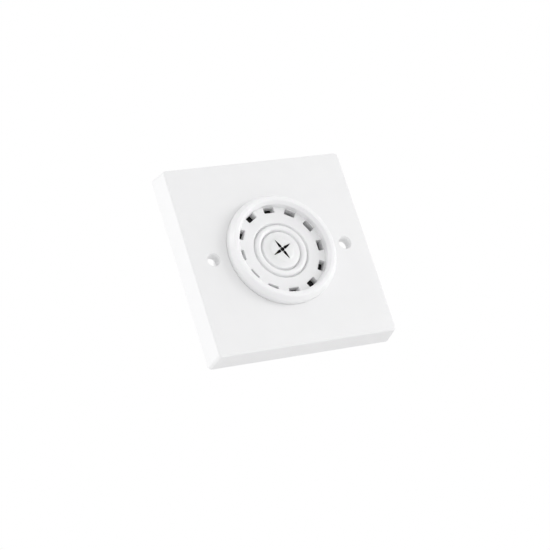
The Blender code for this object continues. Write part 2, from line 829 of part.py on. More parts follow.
def build_axials():
    resistor = material("resistor_lacquer", (0.62, 0.5, 0.33), 0.4)
    epoxy = material("diode_case", (0.04, 0.04, 0.04), 0.35)
    places = {
        "resistor_1": ((3.8, -8.6), 0.0, 5.4, 1.1, 0.95, resistor),
        "resistor_2": ((6.0, 4.2), 0.0, 5.4, 1.1, 0.95, resistor),
        "resistor_3": ((6.0, 7.6), 0.0, 5.4, 1.1, 0.95, resistor),
        "diode": ((6.6, 11.2), 0.3, 5.0, 1.3, 1.3, epoxy),
    }
    for name, (at, turn, length, radius, waist, look) in places.items():
        body = on_board(name, axial_mesh(name, length, radius, waist), look, at, turn)
        reach = length / 2 + 1.3
        for side in (-1, 1):
            path = ((1.0, AXIAL_HIGH), (reach - 0.5, AXIAL_HIGH), (reach, AXIAL_HIGH - 0.5), (reach, 0))
            bend = [(side * x, 0, z) for x, z in path]
            join(body, helper(wire_mesh("component_lead", bend, 0.3), parent=body))


# ---------------------------------------------------------------- terminals


def build_terminal_block():
    low_y, high_y = BLOCK_Y
    green = material("terminal_plastic", (0.03, 0.25, 0.12), 0.45)
    body = box_mesh("terminal_block", (-BLOCK_WIDE / 2, low_y, GAP), (BLOCK_WIDE / 2, high_y, BLOCK_HIGH))
    block = part("terminal_block", body, green, parent=TERMINAL_FRAME)
    chamfer = block.modifiers.new("edges", "BEVEL")
    chamfer.width = 0.4 * MM
    chamfer.segments = 2
    shank_r, head_r = TERMINAL_SHANK_R + 0.2, TERMINAL_HEAD_R + 0.2
    seat = TERMINAL_HEAD_Z[0] - 0.2
    for way in range(WAYS):
        at = (way_x(way), 0, 0)
        well = box_mesh("clamp_well", (-WELL_HALF, WELL_Y[0], -1), (WELL_HALF, WELL_Y[1], WELL_HIGH))
        entry = box_mesh("wire_entry", (-ENTRY_HALF, 0, ENTRY_Z[0]), (ENTRY_HALF, high_y + 1, ENTRY_Z[1]))
        tail = box_mesh("contact_slot", (-1.3, -3.6, -1), (1.3, 0, CONTACT_Z[1] + GAP))
        for mesh in (well, entry, tail):
            cut(block, helper(mesh, at, parent=TERMINAL_FRAME))
        axis = (way_x(way), TERMINAL_AXIS_Y, 0)
        web = cylinder_mesh("shank_hole", WELL_HIGH - 1, TERMINAL_HEAD_Z[0], shank_r, segments=COARSE)
        head = cylinder_mesh("head_well", seat, BLOCK_HIGH + 1, head_r, segments=COARSE)
        for mesh in (web, head):
            cut(block, helper(mesh, axis, parent=TERMINAL_FRAME))


def way_x(way):
    return (way - (WAYS - 1) / 2) * PITCH


def build_terminal_screw(way):
    name = f"terminal_screw_{way + 1}"
    low, high = TERMINAL_HEAD_Z
    profile = [
        (0, high - low),
        (TERMINAL_HEAD_R - 0.2, high - low),
        (TERMINAL_HEAD_R, high - low - 0.2),
        (TERMINAL_HEAD_R, 0),
        (TERMINAL_SHANK_R, 0),
        (TERMINAL_SHANK_R, TERMINAL_TIP_Z + 0.2 - low),
        (TERMINAL_SHANK_R - 0.2, TERMINAL_TIP_Z - low),
        (0, TERMINAL_TIP_Z - low),
    ]
    at = (way_x(way), TERMINAL_AXIS_Y, low)
    screw = part(name, turned_mesh(name, profile, 16), steel(), at, parent=TERMINAL_FRAME)
    slot = box_mesh("driver_slot", (-2.2, -0.3, 0.6), (2.2, 0.3, 2.0))
    cut(screw, helper(slot, turn=(0, 0, 0.5 + 0.7 * way), parent=screw))


def build_terminal_clamp(way):
    name = f"terminal_clamp_{way + 1}"
    low, high = CLAMP_Z
    body = box_mesh(name, (-CLAMP_HALF, CLAMP_Y[0], low), (CLAMP_HALF, CLAMP_Y[1], high))
    clamp = part(name, body, brass(), (way_x(way), 0, 0), parent=TERMINAL_FRAME)
    inner = CLAMP_HALF - CLAMP_WALL
    window = box_mesh("clamp_window", (-inner, -3, low + CLAMP_BAR), (inner, 3, high - CLAMP_TOP))
    hole = cylinder_mesh("clamp_thread", high - 2, high + 1, TERMINAL_SHANK_R + 0.15, segments=16)
    cut(clamp, helper(window, parent=clamp), helper(hole, (0, TERMINAL_AXIS_Y, 0), parent=clamp))


def build_terminal_contact(way):
    name = f"terminal_contact_{way + 1}"
    low, high = CONTACT_Z
    half = CLAMP_HALF - CLAMP_WALL - 0.15
    strip = box_mesh(name, (-half, -3.3, low), (half, 1.5, high))
    contact = part(name, strip, steel(), (way_x(way), 0, 0), parent=TERMINAL_FRAME)
    pin = box_mesh("solder_pin", (-0.5, -3.3, GAP), (0.5, -2.7, high - 0.1))
    join(contact, helper(pin, parent=contact))


def build_terminals():
    build_terminal_block()
    for way in range(WAYS):
        build_terminal_screw(way)
        build_terminal_clamp(way)
        build_terminal_contact(way)


# ---------------------------------------------------------------- assembly

clear_scene()
PARTS = new_collection("alarm_siren")
CUTTERS = new_collection("cutters", hidden=True)
PLATE_FRAME = new_frame("plate_frame", (0, 0, 0), (math.pi / 2, 0, 0))
TERMINAL_FRAME = new_frame(
    "terminal_frame", (0, BLOCK_CENTRE_Y, FACE - BOARD_REAR), (math.pi, 0, 0), PLATE_FRAME
)

build_faceplate()
build_grille()
build_gasket()
build_ring_nut()
build_can()
build_rear_cover()
build_cover_screws()
build_board()
build_baffle()
build_diaphragm()
build_leads()
build_coil()
build_capacitor()
build_driver_ic()
build_transistors()
build_axials()
build_terminals()
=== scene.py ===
"""The looks of a flush alarm siren on a square wall plate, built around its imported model.

Every shape here is drawn in millimetres in the plate's own frame: x runs right, y runs up and z stands out
of the wall, with z = 0 at the wall. TO_ROW turns a finished shape upright, into the frame's metres.
"""

import math

import bmesh
import bpy
from mathutils import Matrix, Vector


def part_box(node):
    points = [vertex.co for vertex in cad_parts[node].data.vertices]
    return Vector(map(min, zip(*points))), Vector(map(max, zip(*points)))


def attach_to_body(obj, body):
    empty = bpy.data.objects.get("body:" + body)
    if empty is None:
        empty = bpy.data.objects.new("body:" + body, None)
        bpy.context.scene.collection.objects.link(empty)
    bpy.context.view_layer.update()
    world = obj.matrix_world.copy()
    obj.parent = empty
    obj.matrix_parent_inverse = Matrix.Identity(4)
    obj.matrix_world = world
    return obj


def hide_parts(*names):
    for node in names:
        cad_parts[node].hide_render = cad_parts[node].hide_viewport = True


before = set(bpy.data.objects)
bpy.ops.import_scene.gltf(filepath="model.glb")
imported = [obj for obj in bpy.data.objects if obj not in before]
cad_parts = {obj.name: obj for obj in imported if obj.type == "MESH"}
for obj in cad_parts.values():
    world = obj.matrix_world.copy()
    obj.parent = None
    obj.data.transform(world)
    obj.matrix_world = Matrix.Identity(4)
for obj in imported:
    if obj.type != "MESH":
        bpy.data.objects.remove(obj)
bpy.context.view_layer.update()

MM = 0.001
TO_ROW = Matrix.Rotation(math.pi / 2, 4, "X") @ Matrix.Scale(MM, 4)
ON_AXIS = 1e-4  # a radius below this is a point on the axis
WELD = 1e-4
MOST_OF_SIDE = 0.49


def local_box(*names):
    """The lowest and highest corner of some CAD nodes together, in the plate's frame."""
    corners = [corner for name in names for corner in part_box(name)]
    points = [Vector((c.x, c.z, -c.y)) / MM for c in corners]
    low = Vector(min(p[axis] for p in points) for axis in range(3))
    high = Vector(max(p[axis] for p in points) for axis in range(3))
    return low, high


# ---------------------------------------------------------------- shapes


def filleted(corners, steps=6, closed=False):
    """The points of an outline whose corners are (x, y, rounding); a rounding never takes half a side."""
    points = []
    for index, (x, y, rounding) in enumerate(corners):
        here = Vector((x, y))
        is_end = not closed and index in (0, len(corners) - 1)
        if is_end or not rounding:
            points.append(here)
            continue
        before = Vector(corners[index - 1][:2]) - here
        after = Vector(corners[(index + 1) % len(corners)][:2]) - here
        reach = rounding / math.tan(before.angle(after) / 2)
        reach = min(reach, before.length * MOST_OF_SIDE, after.length * MOST_OF_SIDE)
        start, end = here + before.normalized() * reach, here + after.normalized() * reach
        for step in range(steps + 1):
            share = step / steps
            points.append(start.lerp(here, share).lerp(here.lerp(end, share), share))
    return points


def rounded_rectangle(wide, tall, corner, centre=(0.0, 0.0), steps=6):
    """A rectangle's outline with round corners, anticlockwise."""
    points = []
    for quarter, (sx, sy) in enumerate(((1, 1), (-1, 1), (-1, -1), (1, -1))):
        x = centre[0] + sx * (wide / 2 - corner)
        y = centre[1] + sy * (tall / 2 - corner)
        for step in range(steps + 1):
            angle = (quarter + step / steps) * math.pi / 2
            points.append(Vector((x + corner * math.cos(angle), y + corner * math.sin(angle))))
    return points


def bridge(bm, ring, other):
    """Faces between two rings of points, either of which may be a single point."""
    count = max(len(ring), len(other))
    for index in range(count):
        after = (index + 1) % count
        corners = []
        for side, order in ((ring, (index, after)), (other, (after, index))):
            corners += [side[0]] if len(side) == 1 else [side[i] for i in order]
        bm.faces.new(corners)


def skinned(bm, rings):
    """Faces along a row of rings, with a cap on each end."""
    for ring, other in zip(rings, rings[1:]):
        bridge(bm, ring, other)
    bm.faces.new(rings[0])
    bm.faces.new(rings[-1])
    return bm


def turned(profile, segments=96, closed=False):
    """A solid turned about z from (radius, height) points; a closed profile is a ring's section."""
    bm = bmesh.new()
    rings = []
    for radius, height in profile:
        count = 1 if radius < ON_AXIS else segments
        angles = [index * math.tau / segments for index in range(count)]
        rings.append([bm.verts.new((radius * math.cos(a), radius * math.sin(a), height)) for a in angles])
    pairs = list(zip(rings, rings[1:]))
    if closed:
        pairs.append((rings[-1], rings[0]))
    for ring, other in pairs:
        bridge(bm, ring, other)
    return bm


def lofted(outlines):
    """A solid through flat outlines, each a (height, points) pair with as many points as the others."""
    bm = bmesh.new()
    rings = [[bm.verts.new((p[0], p[1], height)) for p in points] for height, points in outlines]
    return skinned(bm, rings)


def box(low, high):
    bm = bmesh.new()
    bmesh.ops.create_cube(bm, size=1.0)
    low, high = Vector(low), Vector(high)
    bmesh.ops.scale(bm, vec=high - low, verts=bm.verts)
    bmesh.ops.translate(bm, vec=(low + high) / 2, verts=bm.verts)
    return bm


def moved(bm, at=(0, 0, 0), turn=0.0, about="Z"):
    """The shape turned about an axis through the origin, and then shifted."""
    bm.transform(Matrix.Translation(at) @ Matrix.Rotation(turn, 4, about))
    return bm


def together(*shapes):
    """Separate shapes as one bmesh."""
    whole = shapes[0]
    for shape in shapes[1:]:
        mesh = bpy.data.meshes.new("part")
        shape.to_mesh(mesh)
        whole.from_mesh(mesh)
        bpy.data.meshes.remove(mesh)
        shape.free()
    return whole


def solid(bm, name="solid"):
    """The shape as an object of its own, closed and facing outwards."""
    bmesh.ops.remove_doubles(bm, verts=bm.verts, dist=WELD)
    bmesh.ops.recalc_face_normals(bm, faces=bm.faces)
    mesh = bpy.data.meshes.new(name)
    bm.to_mesh(mesh)
    bm.free()
    obj = bpy.data.objects.new(name, mesh)
    bpy.context.scene.collection.objects.link(obj)
    return obj


def settle(obj):
    """Replaces an object's mesh with what its modifiers make of it."""
    bpy.context.view_layer.update()
    graph = bpy.context.evaluated_depsgraph_get()
    mesh = bpy.data.meshes.new_from_object(obj.evaluated_get(graph))
    obj.modifiers.clear()
    old, obj.data = obj.data, mesh
    bpy.data.meshes.remove(old)


def boolean(target, operation, shapes):
    others = [solid(shape, "tool") for shape in shapes]
    for other in others:
        modifier = target.modifiers.new("boolean", "BOOLEAN")
        modifier.operation = operation
        modifier.solver = "EXACT"
        modifier.object = other
    settle(target)
    for other in others:
        mesh = other.data
        bpy.data.objects.remove(other)
        bpy.data.meshes.remove(mesh)


def cut(target, *shapes):
    boolean(target, "DIFFERENCE", shapes)


def join(target, *shapes):
    boolean(target, "UNION", shapes)


def piece(name, obj, look, nodes, body="housing", smooth=32):
    """Turns a finished solid upright, gives it its finish and lets it ride in place of its CAD nodes."""
    obj.name = name
    obj.data.name = name
    obj.data.transform(TO_ROW)
    obj.data.materials.clear()
    obj.data.materials.append(look)
    obj.data.shade_smooth()
    obj.data.set_sharp_from_angle(angle=math.radians(smooth))
    weighted = obj.modifiers.new("even_shading", "WEIGHTED_NORMAL")
    weighted.keep_sharp = True
    weighted.weight = 100
    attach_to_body(obj, body)
    if nodes:
        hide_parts(*nodes)


# ---------------------------------------------------------------- materials


NOISE_RANGE = (0.3, 0.7)  # nearly all of a noise's values lie in here


class Look:
    """A material under construction: its shader and the nodes that feed it."""

    def __init__(self, name, colour, roughness, metallic=0.0):
        self.material = bpy.data.materials.new(name)
        self.material.use_nodes = True
        self.tree = self.material.node_tree
        self.shader = self.tree.nodes["Principled BSDF"]
        self.set("Base Color", (*colour, 1.0))
        self.set("Roughness", roughness)
        self.set("Metallic", metallic)
        self.material.diffuse_color = (*colour, 1.0)
        self.place = self.tree.nodes.new("ShaderNodeTexCoord").outputs["Object"]

    def set(self, socket, value):
        self.shader.inputs[socket].default_value = value

    def link(self, source, target):
        self.tree.links.new(source, target)

    def noise(self, size, detail=2.0, roughness=0.5):
        """Noise whose lumps are about size millimetres across."""
        node = self.tree.nodes.new("ShaderNodeTexNoise")
        node.inputs["Scale"].default_value = 1 / (size * MM)
        node.inputs["Detail"].default_value = detail
        node.inputs["Roughness"].default_value = roughness
        self.link(self.place, node.inputs["Vector"])
        return node.outputs["Fac"]

    def roughen(self, source, low, high):
        """Takes the roughness from low to high over the noise's range."""
        node = self.tree.nodes.new("ShaderNodeMapRange")
        for socket, value in zip(("From Min", "From Max", "To Min", "To Max"), (*NOISE_RANGE, low, high)):
            node.inputs[socket].default_value = value
        self.link(source, node.inputs["Value"])
        self.link(node.outputs["Result"], self.shader.inputs["Roughness"])

    def tint(self, source, low, high):
        """Takes the colour from low to high over the noise's range."""
        node = self.tree.nodes.new("ShaderNodeValToRGB")
        for stop, position, colour in zip(node.color_ramp.elements, NOISE_RANGE, (low, high)):
            stop.position = position
            stop.color = (*colour, 1.0)
        self.link(source, node.inputs["Fac"])
        self.link(node.outputs["Color"], self.shader.inputs["Base Color"])

    def bump(self, source, height):
        """Adds relief of a height in millimetres; later calls lie on top of earlier ones."""
        node = self.tree.nodes.new("ShaderNodeBump")
        node.inputs["Distance"].default_value = height * MM
        node.inputs["Strength"].default_value = 1.0
        self.link(source, node.inputs["Height"])
        normal = self.shader.inputs["Normal"]
        if normal.links:
            self.link(normal.links[0].from_socket, node.inputs["Normal"])
        self.link(node.outputs["Normal"], normal)


def shade(colour, factor):
    return tuple(channel * factor for channel in colour)


MILKY_DEPTH = 1.5  # how far light spreads in the white plastic, in millimetres
MILKY_RADIUS = (1.0, 0.95, 1.0)
MOTTLE, SHEEN, WAVE = 9.0, 2.5, 14.0  # the sizes of a moulding's patches of colour, gloss and relief
WAVE_HIGH = 0.02


def moulded_plastic(name, colour, roughness, grain, relief, milky=0.0):
    """Plastic with the fine satin grain of its mould, and the faint unevenness of a moulded surface."""
    look = Look(name, colour, roughness)
    look.tint(look.noise(MOTTLE), shade(colour, 0.988), colour)
    look.roughen(look.noise(SHEEN, 4.0), roughness - 0.03, roughness + 0.04)
    look.bump(look.noise(grain, 3.0, 0.6), relief)
    look.bump(look.noise(WAVE), WAVE_HIGH)
    if milky:
        look.set("Subsurface Weight", milky)
        look.set("Subsurface Scale", MILKY_DEPTH * MM)
        look.set("Subsurface Radius", MILKY_RADIUS)
    return look.material


def plated_metal(name, colour, roughness):
    """Metal with small patches of duller and darker plating, and a very fine grain."""
    look = Look(name, colour, roughness, 1.0)
    look.roughen(look.noise(0.6, 4.0), roughness - 0.08, roughness + 0.1)
    look.tint(look.noise(1.5, 3.0), shade(colour, 0.9), colour)
    look.bump(look.noise(0.12, 2.0), 0.003)
    return look.material


WHITE = (0.88, 0.88, 0.885)
PLATE_LOOK = moulded_plastic("plate_plastic", WHITE, 0.36, 0.22, 0.006)
GRILLE_LOOK = moulded_plastic("grille_plastic", (0.885, 0.885, 0.892), 0.33, 0.22, 0.004, 0.8)
BLACK_LOOK = moulded_plastic("black_plastic", (0.022, 0.022, 0.024), 0.42, 0.18, 0.008)
RUBBER_LOOK = moulded_plastic("rubber", (0.035, 0.035, 0.036), 0.7, 0.3, 0.01)
# painted shade: black for the star port's walls, so that the port looks dark
PORT_SHADE_LOOK = moulded_plastic("port_painted_shade", (0.02, 0.02, 0.022), 0.6, 0.2, 0.01)
EPOXY_LOOK = moulded_plastic("epoxy_case", (0.03, 0.03, 0.033), 0.5, 0.12, 0.01)
TERMINAL_LOOK = moulded_plastic("terminal_plastic", (0.025, 0.2, 0.095), 0.42, 0.2, 0.006)
STEEL_LOOK = plated_metal("plated_steel", (0.66, 0.66, 0.64), 0.28)
TINNED_LOOK = plated_metal("tinned_brass", (0.74, 0.73, 0.7), 0.32)
CAGE_LOOK = plated_metal("clamp_brass", (0.82, 0.66, 0.36), 0.3)
DISC_LOOK = plated_metal("diaphragm_brass", (0.83, 0.6, 0.26), 0.22)
SOLDER_LOOK = plated_metal("solder", (0.7, 0.7, 0.72), 0.25)
COPPER_LOOK = plated_metal("enamelled_copper", (0.72, 0.28, 0.1), 0.24)
CERAMIC_LOOK = moulded_plastic("piezo_ceramic", (0.62, 0.6, 0.52), 0.55, 0.12, 0.004)
FERRITE_LOOK = moulded_plastic("ferrite", (0.06, 0.06, 0.063), 0.6, 0.12, 0.012)
BOARD_LOOK = moulded_plastic("board_laminate", (0.02, 0.15, 0.06), 0.35, 0.5, 0.006)
SLEEVE_LOOK = moulded_plastic("capacitor_sleeve", (0.015, 0.03, 0.11), 0.3, 0.5, 0.004)
STRIPE_LOOK = moulded_plastic("pale_stripe", (0.55, 0.56, 0.58), 0.35, 0.5, 0.004)
RESISTOR_LOOK = moulded_plastic("resistor_lacquer", (0.6, 0.47, 0.3), 0.32, 0.4, 0.006)
RED_LOOK = moulded_plastic("red_insulation", (0.55, 0.02, 0.02), 0.38, 0.4, 0.006)
BLACK_LEAD_LOOK = moulded_plastic("black_insulation", (0.02, 0.02, 0.02), 0.38, 0.4, 0.006)

BROWN = (0.12, 0.04, 0.015)
BLACK = (0.015, 0.015, 0.015)
RED = (0.5, 0.02, 0.02)
ORANGE = (0.7, 0.2, 0.02)
GOLD = (0.55, 0.4, 0.12)
BANDS = {}


def band_look(colour):
    """The look of one painted band, made once for each colour."""
    if colour not in BANDS:
        BANDS[colour] = moulded_plastic(f"band_{len(BANDS) + 1}", colour, 0.35, 0.4, 0.004)
    return BANDS[colour]


# ---------------------------------------------------------------- sizes, from the frame

GAP = 0.3  # between pieces that touch in the real object
PAST = 1.0  # how far a cutter goes past the surface that it opens

PLATE_LOW, PLATE_HIGH = local_box("faceplate")
PLATE_BACK = PLATE_HIGH.x - PLATE_LOW.x
FACE = PLATE_HIGH.z
DRAFT = math.radians(6.0)  # how far the plate's sides lean in towards its face
PLATE_CORNER = 1.6
PLATE_EDGE = 0.75
REAR_EDGE = 0.25
PLATE_WALL = 2.4
FACE_THICK = 2.5
FACE_REAR = FACE - FACE_THICK
FIXING_SPACING = 60.3
FIXING_HOLE_R = 2.35
COUNTERSINK_R = 2.9
COUNTERSINK_DEEP = 0.9
PAD_R = 4.2
PAD_HIGH = 1.8
RIB_THICK = 1.2
RIB_FOOT = 3.0
RIB_START = 26.5

GRILLE_LOW, GRILLE_HIGH = local_box("siren_grille")
LIP_R = GRILLE_HIGH.x
LIP_TOP = GRILLE_HIGH.z
NECK_LOW = GRILLE_LOW.z
LIP_CREST_R = (20.3, 21.9)  # the inner and outer edge of the lip's flat top
LIP_SHOULDER = FACE + 2.8
LIP_SIDE = FACE + 1.0
LIP_FOOT = FACE + 0.12
LIP_FOOT_R = LIP_R - 0.15
LIP_SKIRT = 0.5
GASKET_ROOF = FACE + 0.9
DISH_R = 19.15
WALL_TOP = FACE + 3.5  # the dish's wall is upright up to here, and then slopes on up to the lip
FLOOR = FACE + 1.0
FLOOR_UNDER = FACE - 1.0
SLOT_UNDER = FACE - 2.5
DISC_TOP = FACE + 1.8
DISC_UNDER = FACE + 0.6
DISC_R = 4.6
GROOVE_R = (8.5, 11.6)
GROOVE_DEEP = 1.4
GROOVE_HALF = (0.55, 0.12)  # half a groove's width at its mouth and at its foot
NECK_R = 20.9
NECK_BORE_R = 19.75
KEY_WIDE = 2.4
KEY_HIGH = 0.7
OPENING_R = NECK_R + 0.4
SLOT_COUNT = 12
SLOT_R = (16.55, 19.0)
SLOT_WIDE = 4.6
SLOT_CORNER = 0.35
PORT_TURN = math.radians(25)
PORT_ARM = ((1.0, 0.45), (1.6, 0.62), (4.6, 0.1))  # (radius, half width) along one arm of the star
PORT_HOLE_R = 0.9


# ---------------------------------------------------------------- plate


def plate_outline(height, inset, corner):
    side = PLATE_BACK - 2 * (height * math.tan(DRAFT) + inset)
    return height, rounded_rectangle(side, side, corner, steps=10)


def at_fixings(profile, segments):
    """A turned shape at each of the two fixing holes."""
    return [moved(turned(profile, segments), (side * FIXING_SPACING / 2, 0, 0)) for side in (-1, 1)]


def make_plate():
    outlines = [
        plate_outline(0.0, REAR_EDGE, PLATE_CORNER - REAR_EDGE),
        plate_outline(REAR_EDGE, 0.0, PLATE_CORNER),
    ]
    edge_low = FACE - PLATE_EDGE
    steps = 6
    for step in range(steps + 1):
        angle = step / steps * math.pi / 2
        inset = PLATE_EDGE * (1 - math.cos(angle))
        outlines.append(plate_outline(edge_low + PLATE_EDGE * math.sin(angle), inset, PLATE_CORNER - inset))
    plate = solid(lofted(outlines))

    bevel = 0.5
    hollow = ((-PAST, 0.0), (FACE_REAR - bevel, 0.0), (FACE_REAR, bevel))
    cut(plate, lofted([plate_outline(h, PLATE_WALL + inset, PLATE_CORNER / 2) for h, inset in hollow]))

    into_face = FACE_REAR + FACE_THICK / 2
    pad_low = FACE_REAR - PAD_HIGH
    edge = 0.2
    pad = [(0, pad_low), (PAD_R - edge, pad_low), (PAD_R, pad_low + edge)]
    pad += [(PAD_R, into_face), (0, into_face)]
    ribs = at_fixings(pad, 48)
    corner_reach = math.sqrt(2) * (PLATE_BACK / 2 - PLATE_WALL / 2) - PLATE_CORNER / 2
    for quarter in range(4):
        rib = box((RIB_START, -RIB_THICK / 2, RIB_FOOT), (corner_reach, RIB_THICK / 2, into_face))
        ribs.append(moved(rib, turn=math.pi * (0.25 + quarter / 2)))
    join(plate, *ribs)

    opening = rod(OPENING_R, FACE_REAR - PAST, FACE + PAST, 128)
    notch_half = KEY_WIDE / 2 + GAP
    notch = box(
        (-notch_half, -NECK_R - KEY_HIGH - GAP, FACE_REAR - PAST),
        (notch_half, -NECK_R + 2 * PAST, FACE + PAST),
    )
    cut(plate, opening, notch)

    above, rounding = 0.6, 0.3
    sink = [
        (0, FACE + above, 0),
        (COUNTERSINK_R + above, FACE + above, 0),
        (COUNTERSINK_R, FACE, rounding),
        (FIXING_HOLE_R, FACE - COUNTERSINK_DEEP, rounding),
        (FIXING_HOLE_R, -PAST, 0),
        (0, -PAST, 0),
    ]
    cut(plate, together(*at_fixings(filleted(sink), 96)))
    piece("plate_moulding", plate, PLATE_LOOK, ["faceplate"])


# ---------------------------------------------------------------- grille


def groove(radius, inner, outer):
    """The corners of a ripple groove; inner and outer are its shoulders' (rise over the floor, rounding)."""
    mouth, foot = GROOVE_HALF
    return [
        (radius - mouth, FLOOR + inner[0], inner[1]),
        (radius - foot, FLOOR - GROOVE_DEEP, 0.1),
        (radius + foot, FLOOR - GROOVE_DEEP, 0.1),
        (radius + mouth, FLOOR + outer[0], outer[1]),
    ]


def grille_profile():
    """From the axis across the dish, over the lip, down the neck and back under the floor to the axis."""
    inner, outer = GROOVE_R
    front = [
        (0, DISC_TOP, 0),
        (DISC_R, DISC_TOP - 0.05, 1.0),
        (DISC_R + 0.9, DISC_TOP - 0.4, 0.6),
        *groove(inner, (0.1, 0.45), (0.05, 0.4)),
        ((inner + outer) / 2, FLOOR + 0.4, 1.0),
        *groove(outer, (0.05, 0.4), (0.0, 0.45)),
        (DISH_R, FLOOR, 0.25),
        (DISH_R + 0.05, WALL_TOP, 0.4),
        (LIP_CREST_R[0], LIP_TOP - 0.05, 0.5),
        (LIP_CREST_R[1], LIP_TOP, 0.8),
        (LIP_R - 0.15, LIP_SHOULDER, 2.0),
        (LIP_R, LIP_SIDE, 0.6),
        (LIP_FOOT_R, LIP_FOOT, 0.1),
    ]
    chamfer = 0.4
    rear = [
        (LIP_FOOT_R - LIP_SKIRT, LIP_FOOT, 0),
        (LIP_FOOT_R - LIP_SKIRT, GASKET_ROOF, 0),
        (NECK_R, GASKET_ROOF, 0),
        (NECK_R, NECK_LOW + chamfer, 0),
        (NECK_R - chamfer, NECK_LOW, 0),
        (NECK_BORE_R, NECK_LOW, 0),
        (NECK_BORE_R, SLOT_UNDER, 0),
        (SLOT_R[0] - 1.2, SLOT_UNDER, 0.3),
        (SLOT_R[0] - 1.8, FLOOR_UNDER, 0.3),
        (DISC_R + 1.8, FLOOR_UNDER, 0.3),
        (DISC_R + 1.0, DISC_UNDER, 0.3),
        (0, DISC_UNDER, 0),
    ]
    return filleted(front + rear)


def slot_cutter(angle):
    """A slot's cutter, flared where it leaves the floor so that the slot's edge is round."""
    round_off, steps = 0.14, 4
    levels = [(SLOT_UNDER - 0.5, 0.0), (FLOOR - round_off, 0.0)]
    for step in range(1, steps + 1):
        share = step / steps * math.pi / 2
        levels.append((FLOOR - round_off * math.cos(share), round_off * (1 - math.cos(share))))
    levels.append((FLOOR + 1.2, round_off))
    inner, outer = SLOT_R
    centre = ((inner + outer) / 2, 0)
    outlines = []
    for height, grow in levels:
        long, wide = outer - inner + 2 * grow, SLOT_WIDE + 2 * grow
        outlines.append((height, rounded_rectangle(long, wide, SLOT_CORNER + grow, centre)))
    return moved(lofted(outlines), turn=angle)


def make_grille():
    grille = solid(turned(grille_profile(), 240))
    slots = [slot_cutter(index * math.tau / SLOT_COUNT) for index in range(SLOT_COUNT)]
    cut(grille, together(*slots))
    low, high = FACE, DISC_TOP + PAST
    arm = [(r, -half) for r, half in PORT_ARM] + [(r, half) for r, half in reversed(PORT_ARM)]
    arms = []
    for index in range(4):
        arms.append(moved(lofted([(low, arm), (high, arm)]), turn=PORT_TURN + index * math.tau / 4))
    cut(grille, together(*arms), rod(PORT_HOLE_R, low, high, 32))
    key_low = (-KEY_WIDE / 2, -NECK_R - KEY_HIGH, FACE_REAR + GAP)
    key_high = (KEY_WIDE / 2, -NECK_R + 0.6, FACE + 1.2)
    join(grille, box(key_low, key_high))
    piece("grille_moulding", grille, GRILLE_LOOK, ["siren_grille"])

    # The star port's walls take the black look, as painted shade that keeps the port dark.
    def in_port_shade(c, n):
        inside = math.hypot(c.x, c.y) < DISC_R and DISC_UNDER + 0.01 < c.z < DISC_TOP - 0.06
        return inside and abs(n.z) < 0.2

    paint(grille, PORT_SHADE_LOOK, in_port_shade)


# ---------------------------------------------------------------- shared small shapes


def block(low, high, rounding, steps=2):
    """A box with rounded edges."""
    bm = box(low, high)
    bmesh.ops.bevel(bm, geom=list(bm.edges), offset=rounding, segments=steps, profile=0.5, affect="EDGES")
    return bm


def ring(inner, outer, low, high, rounding, segments=128):
    corners = [(inner, low, rounding), (outer, low, rounding)]
    corners += [(outer, high, rounding), (inner, high, rounding)]
    return turned(filleted(corners, 4, closed=True), segments, closed=True)


def rod(radius, low, high, segments=48):
    return turned([(0, high), (radius, high), (radius, low), (0, low)], segments)


def dome(radius, height):
    """A solder joint's cone, its foot at z = 0."""
    outline = ((0, 1), (0.4, 0.85), (0.6, 0.4), (1, 0), (0, 0))  # in shares of the radius and the height
    return turned([(radius * r, height * h) for r, h in outline], 20)


def post(radius, low, high, segments, circle_r, degrees):
    """A rod that stands on a circle round the axis."""
    return moved(rod(radius, low, high, segments), (*on_circle(circle_r, degrees), 0))


def ridge(root, crest, low, high, pitch, segments=32):
    """A right-handed screw thread that runs out at both ends, to lie on a core of radius root."""
    bm = bmesh.new()
    foot_r = root - 0.1
    foot_half, crest_half = 0.42, 0.12  # in pitches
    run_out = segments / 4
    count = int((high - low - pitch) / pitch * segments)
    rings = []
    for step in range(count + 1):
        angle = step * math.tau / segments
        x, y = math.cos(angle), math.sin(angle)
        rise = low + pitch / 2 + step * pitch / segments
        fade = min(1.0, step / run_out, (count - step) / run_out)
        top = root + (crest - root) * fade
        section = ((foot_r, foot_half), (top, crest_half), (top, -crest_half), (foot_r, -foot_half))
        rings.append([bm.verts.new((r * x, r * y, rise + share * pitch)) for r, share in section])
    return skinned(bm, rings)


def smooth_route(points, steps=8):
    """A Catmull-Rom curve read through the route's own points."""
    route = [Vector(p) for p in (points[0], *points, points[-1])]
    read = []
    for before, start, end, after in zip(route, route[1:], route[2:], route[3:]):
        for step in range(steps):
            t = step / steps
            bend = 2 * before - 5 * start + 4 * end - after
            twist = 3 * start - before - 3 * end + after
            read.append((2 * start + (end - before) * t + bend * t**2 + twist * t**3) / 2)
    read.append(route[-1])
    return read


def tube(points, radius, sides=16):
    """A round wire along a path of points."""
    bm = bmesh.new()
    path = [Vector(p) for p in points]
    ahead = (path[1] - path[0]).normalized()
    across = ahead.orthogonal().normalized()
    rings = []
    for index, place in enumerate(path):
        following = path[min(index + 1, len(path) - 1)] - path[max(index - 1, 0)]
        turn = ahead.rotation_difference(following)
        across = (turn @ across).normalized()
        ahead = following.normalized()
        up = ahead.cross(across)
        angles = [side * math.tau / sides for side in range(sides)]
        points = [place + (across * math.cos(a) + up * math.sin(a)) * radius for a in angles]
        rings.append([bm.verts.new(point) for point in points])
    return skinned(bm, rings)


def attach(target, *shapes):
    """Lays further closed shapes into an object's mesh."""
    bm = bmesh.new()
    bm.from_mesh(target.data)
    for shape in shapes:
        bmesh.ops.recalc_face_normals(shape, faces=shape.faces)
    whole = together(bm, *shapes)
    whole.to_mesh(target.data)
    whole.free()


def on_circle(radius, degrees):
    angle = math.radians(degrees)
    return radius * math.cos(angle), radius * math.sin(angle)


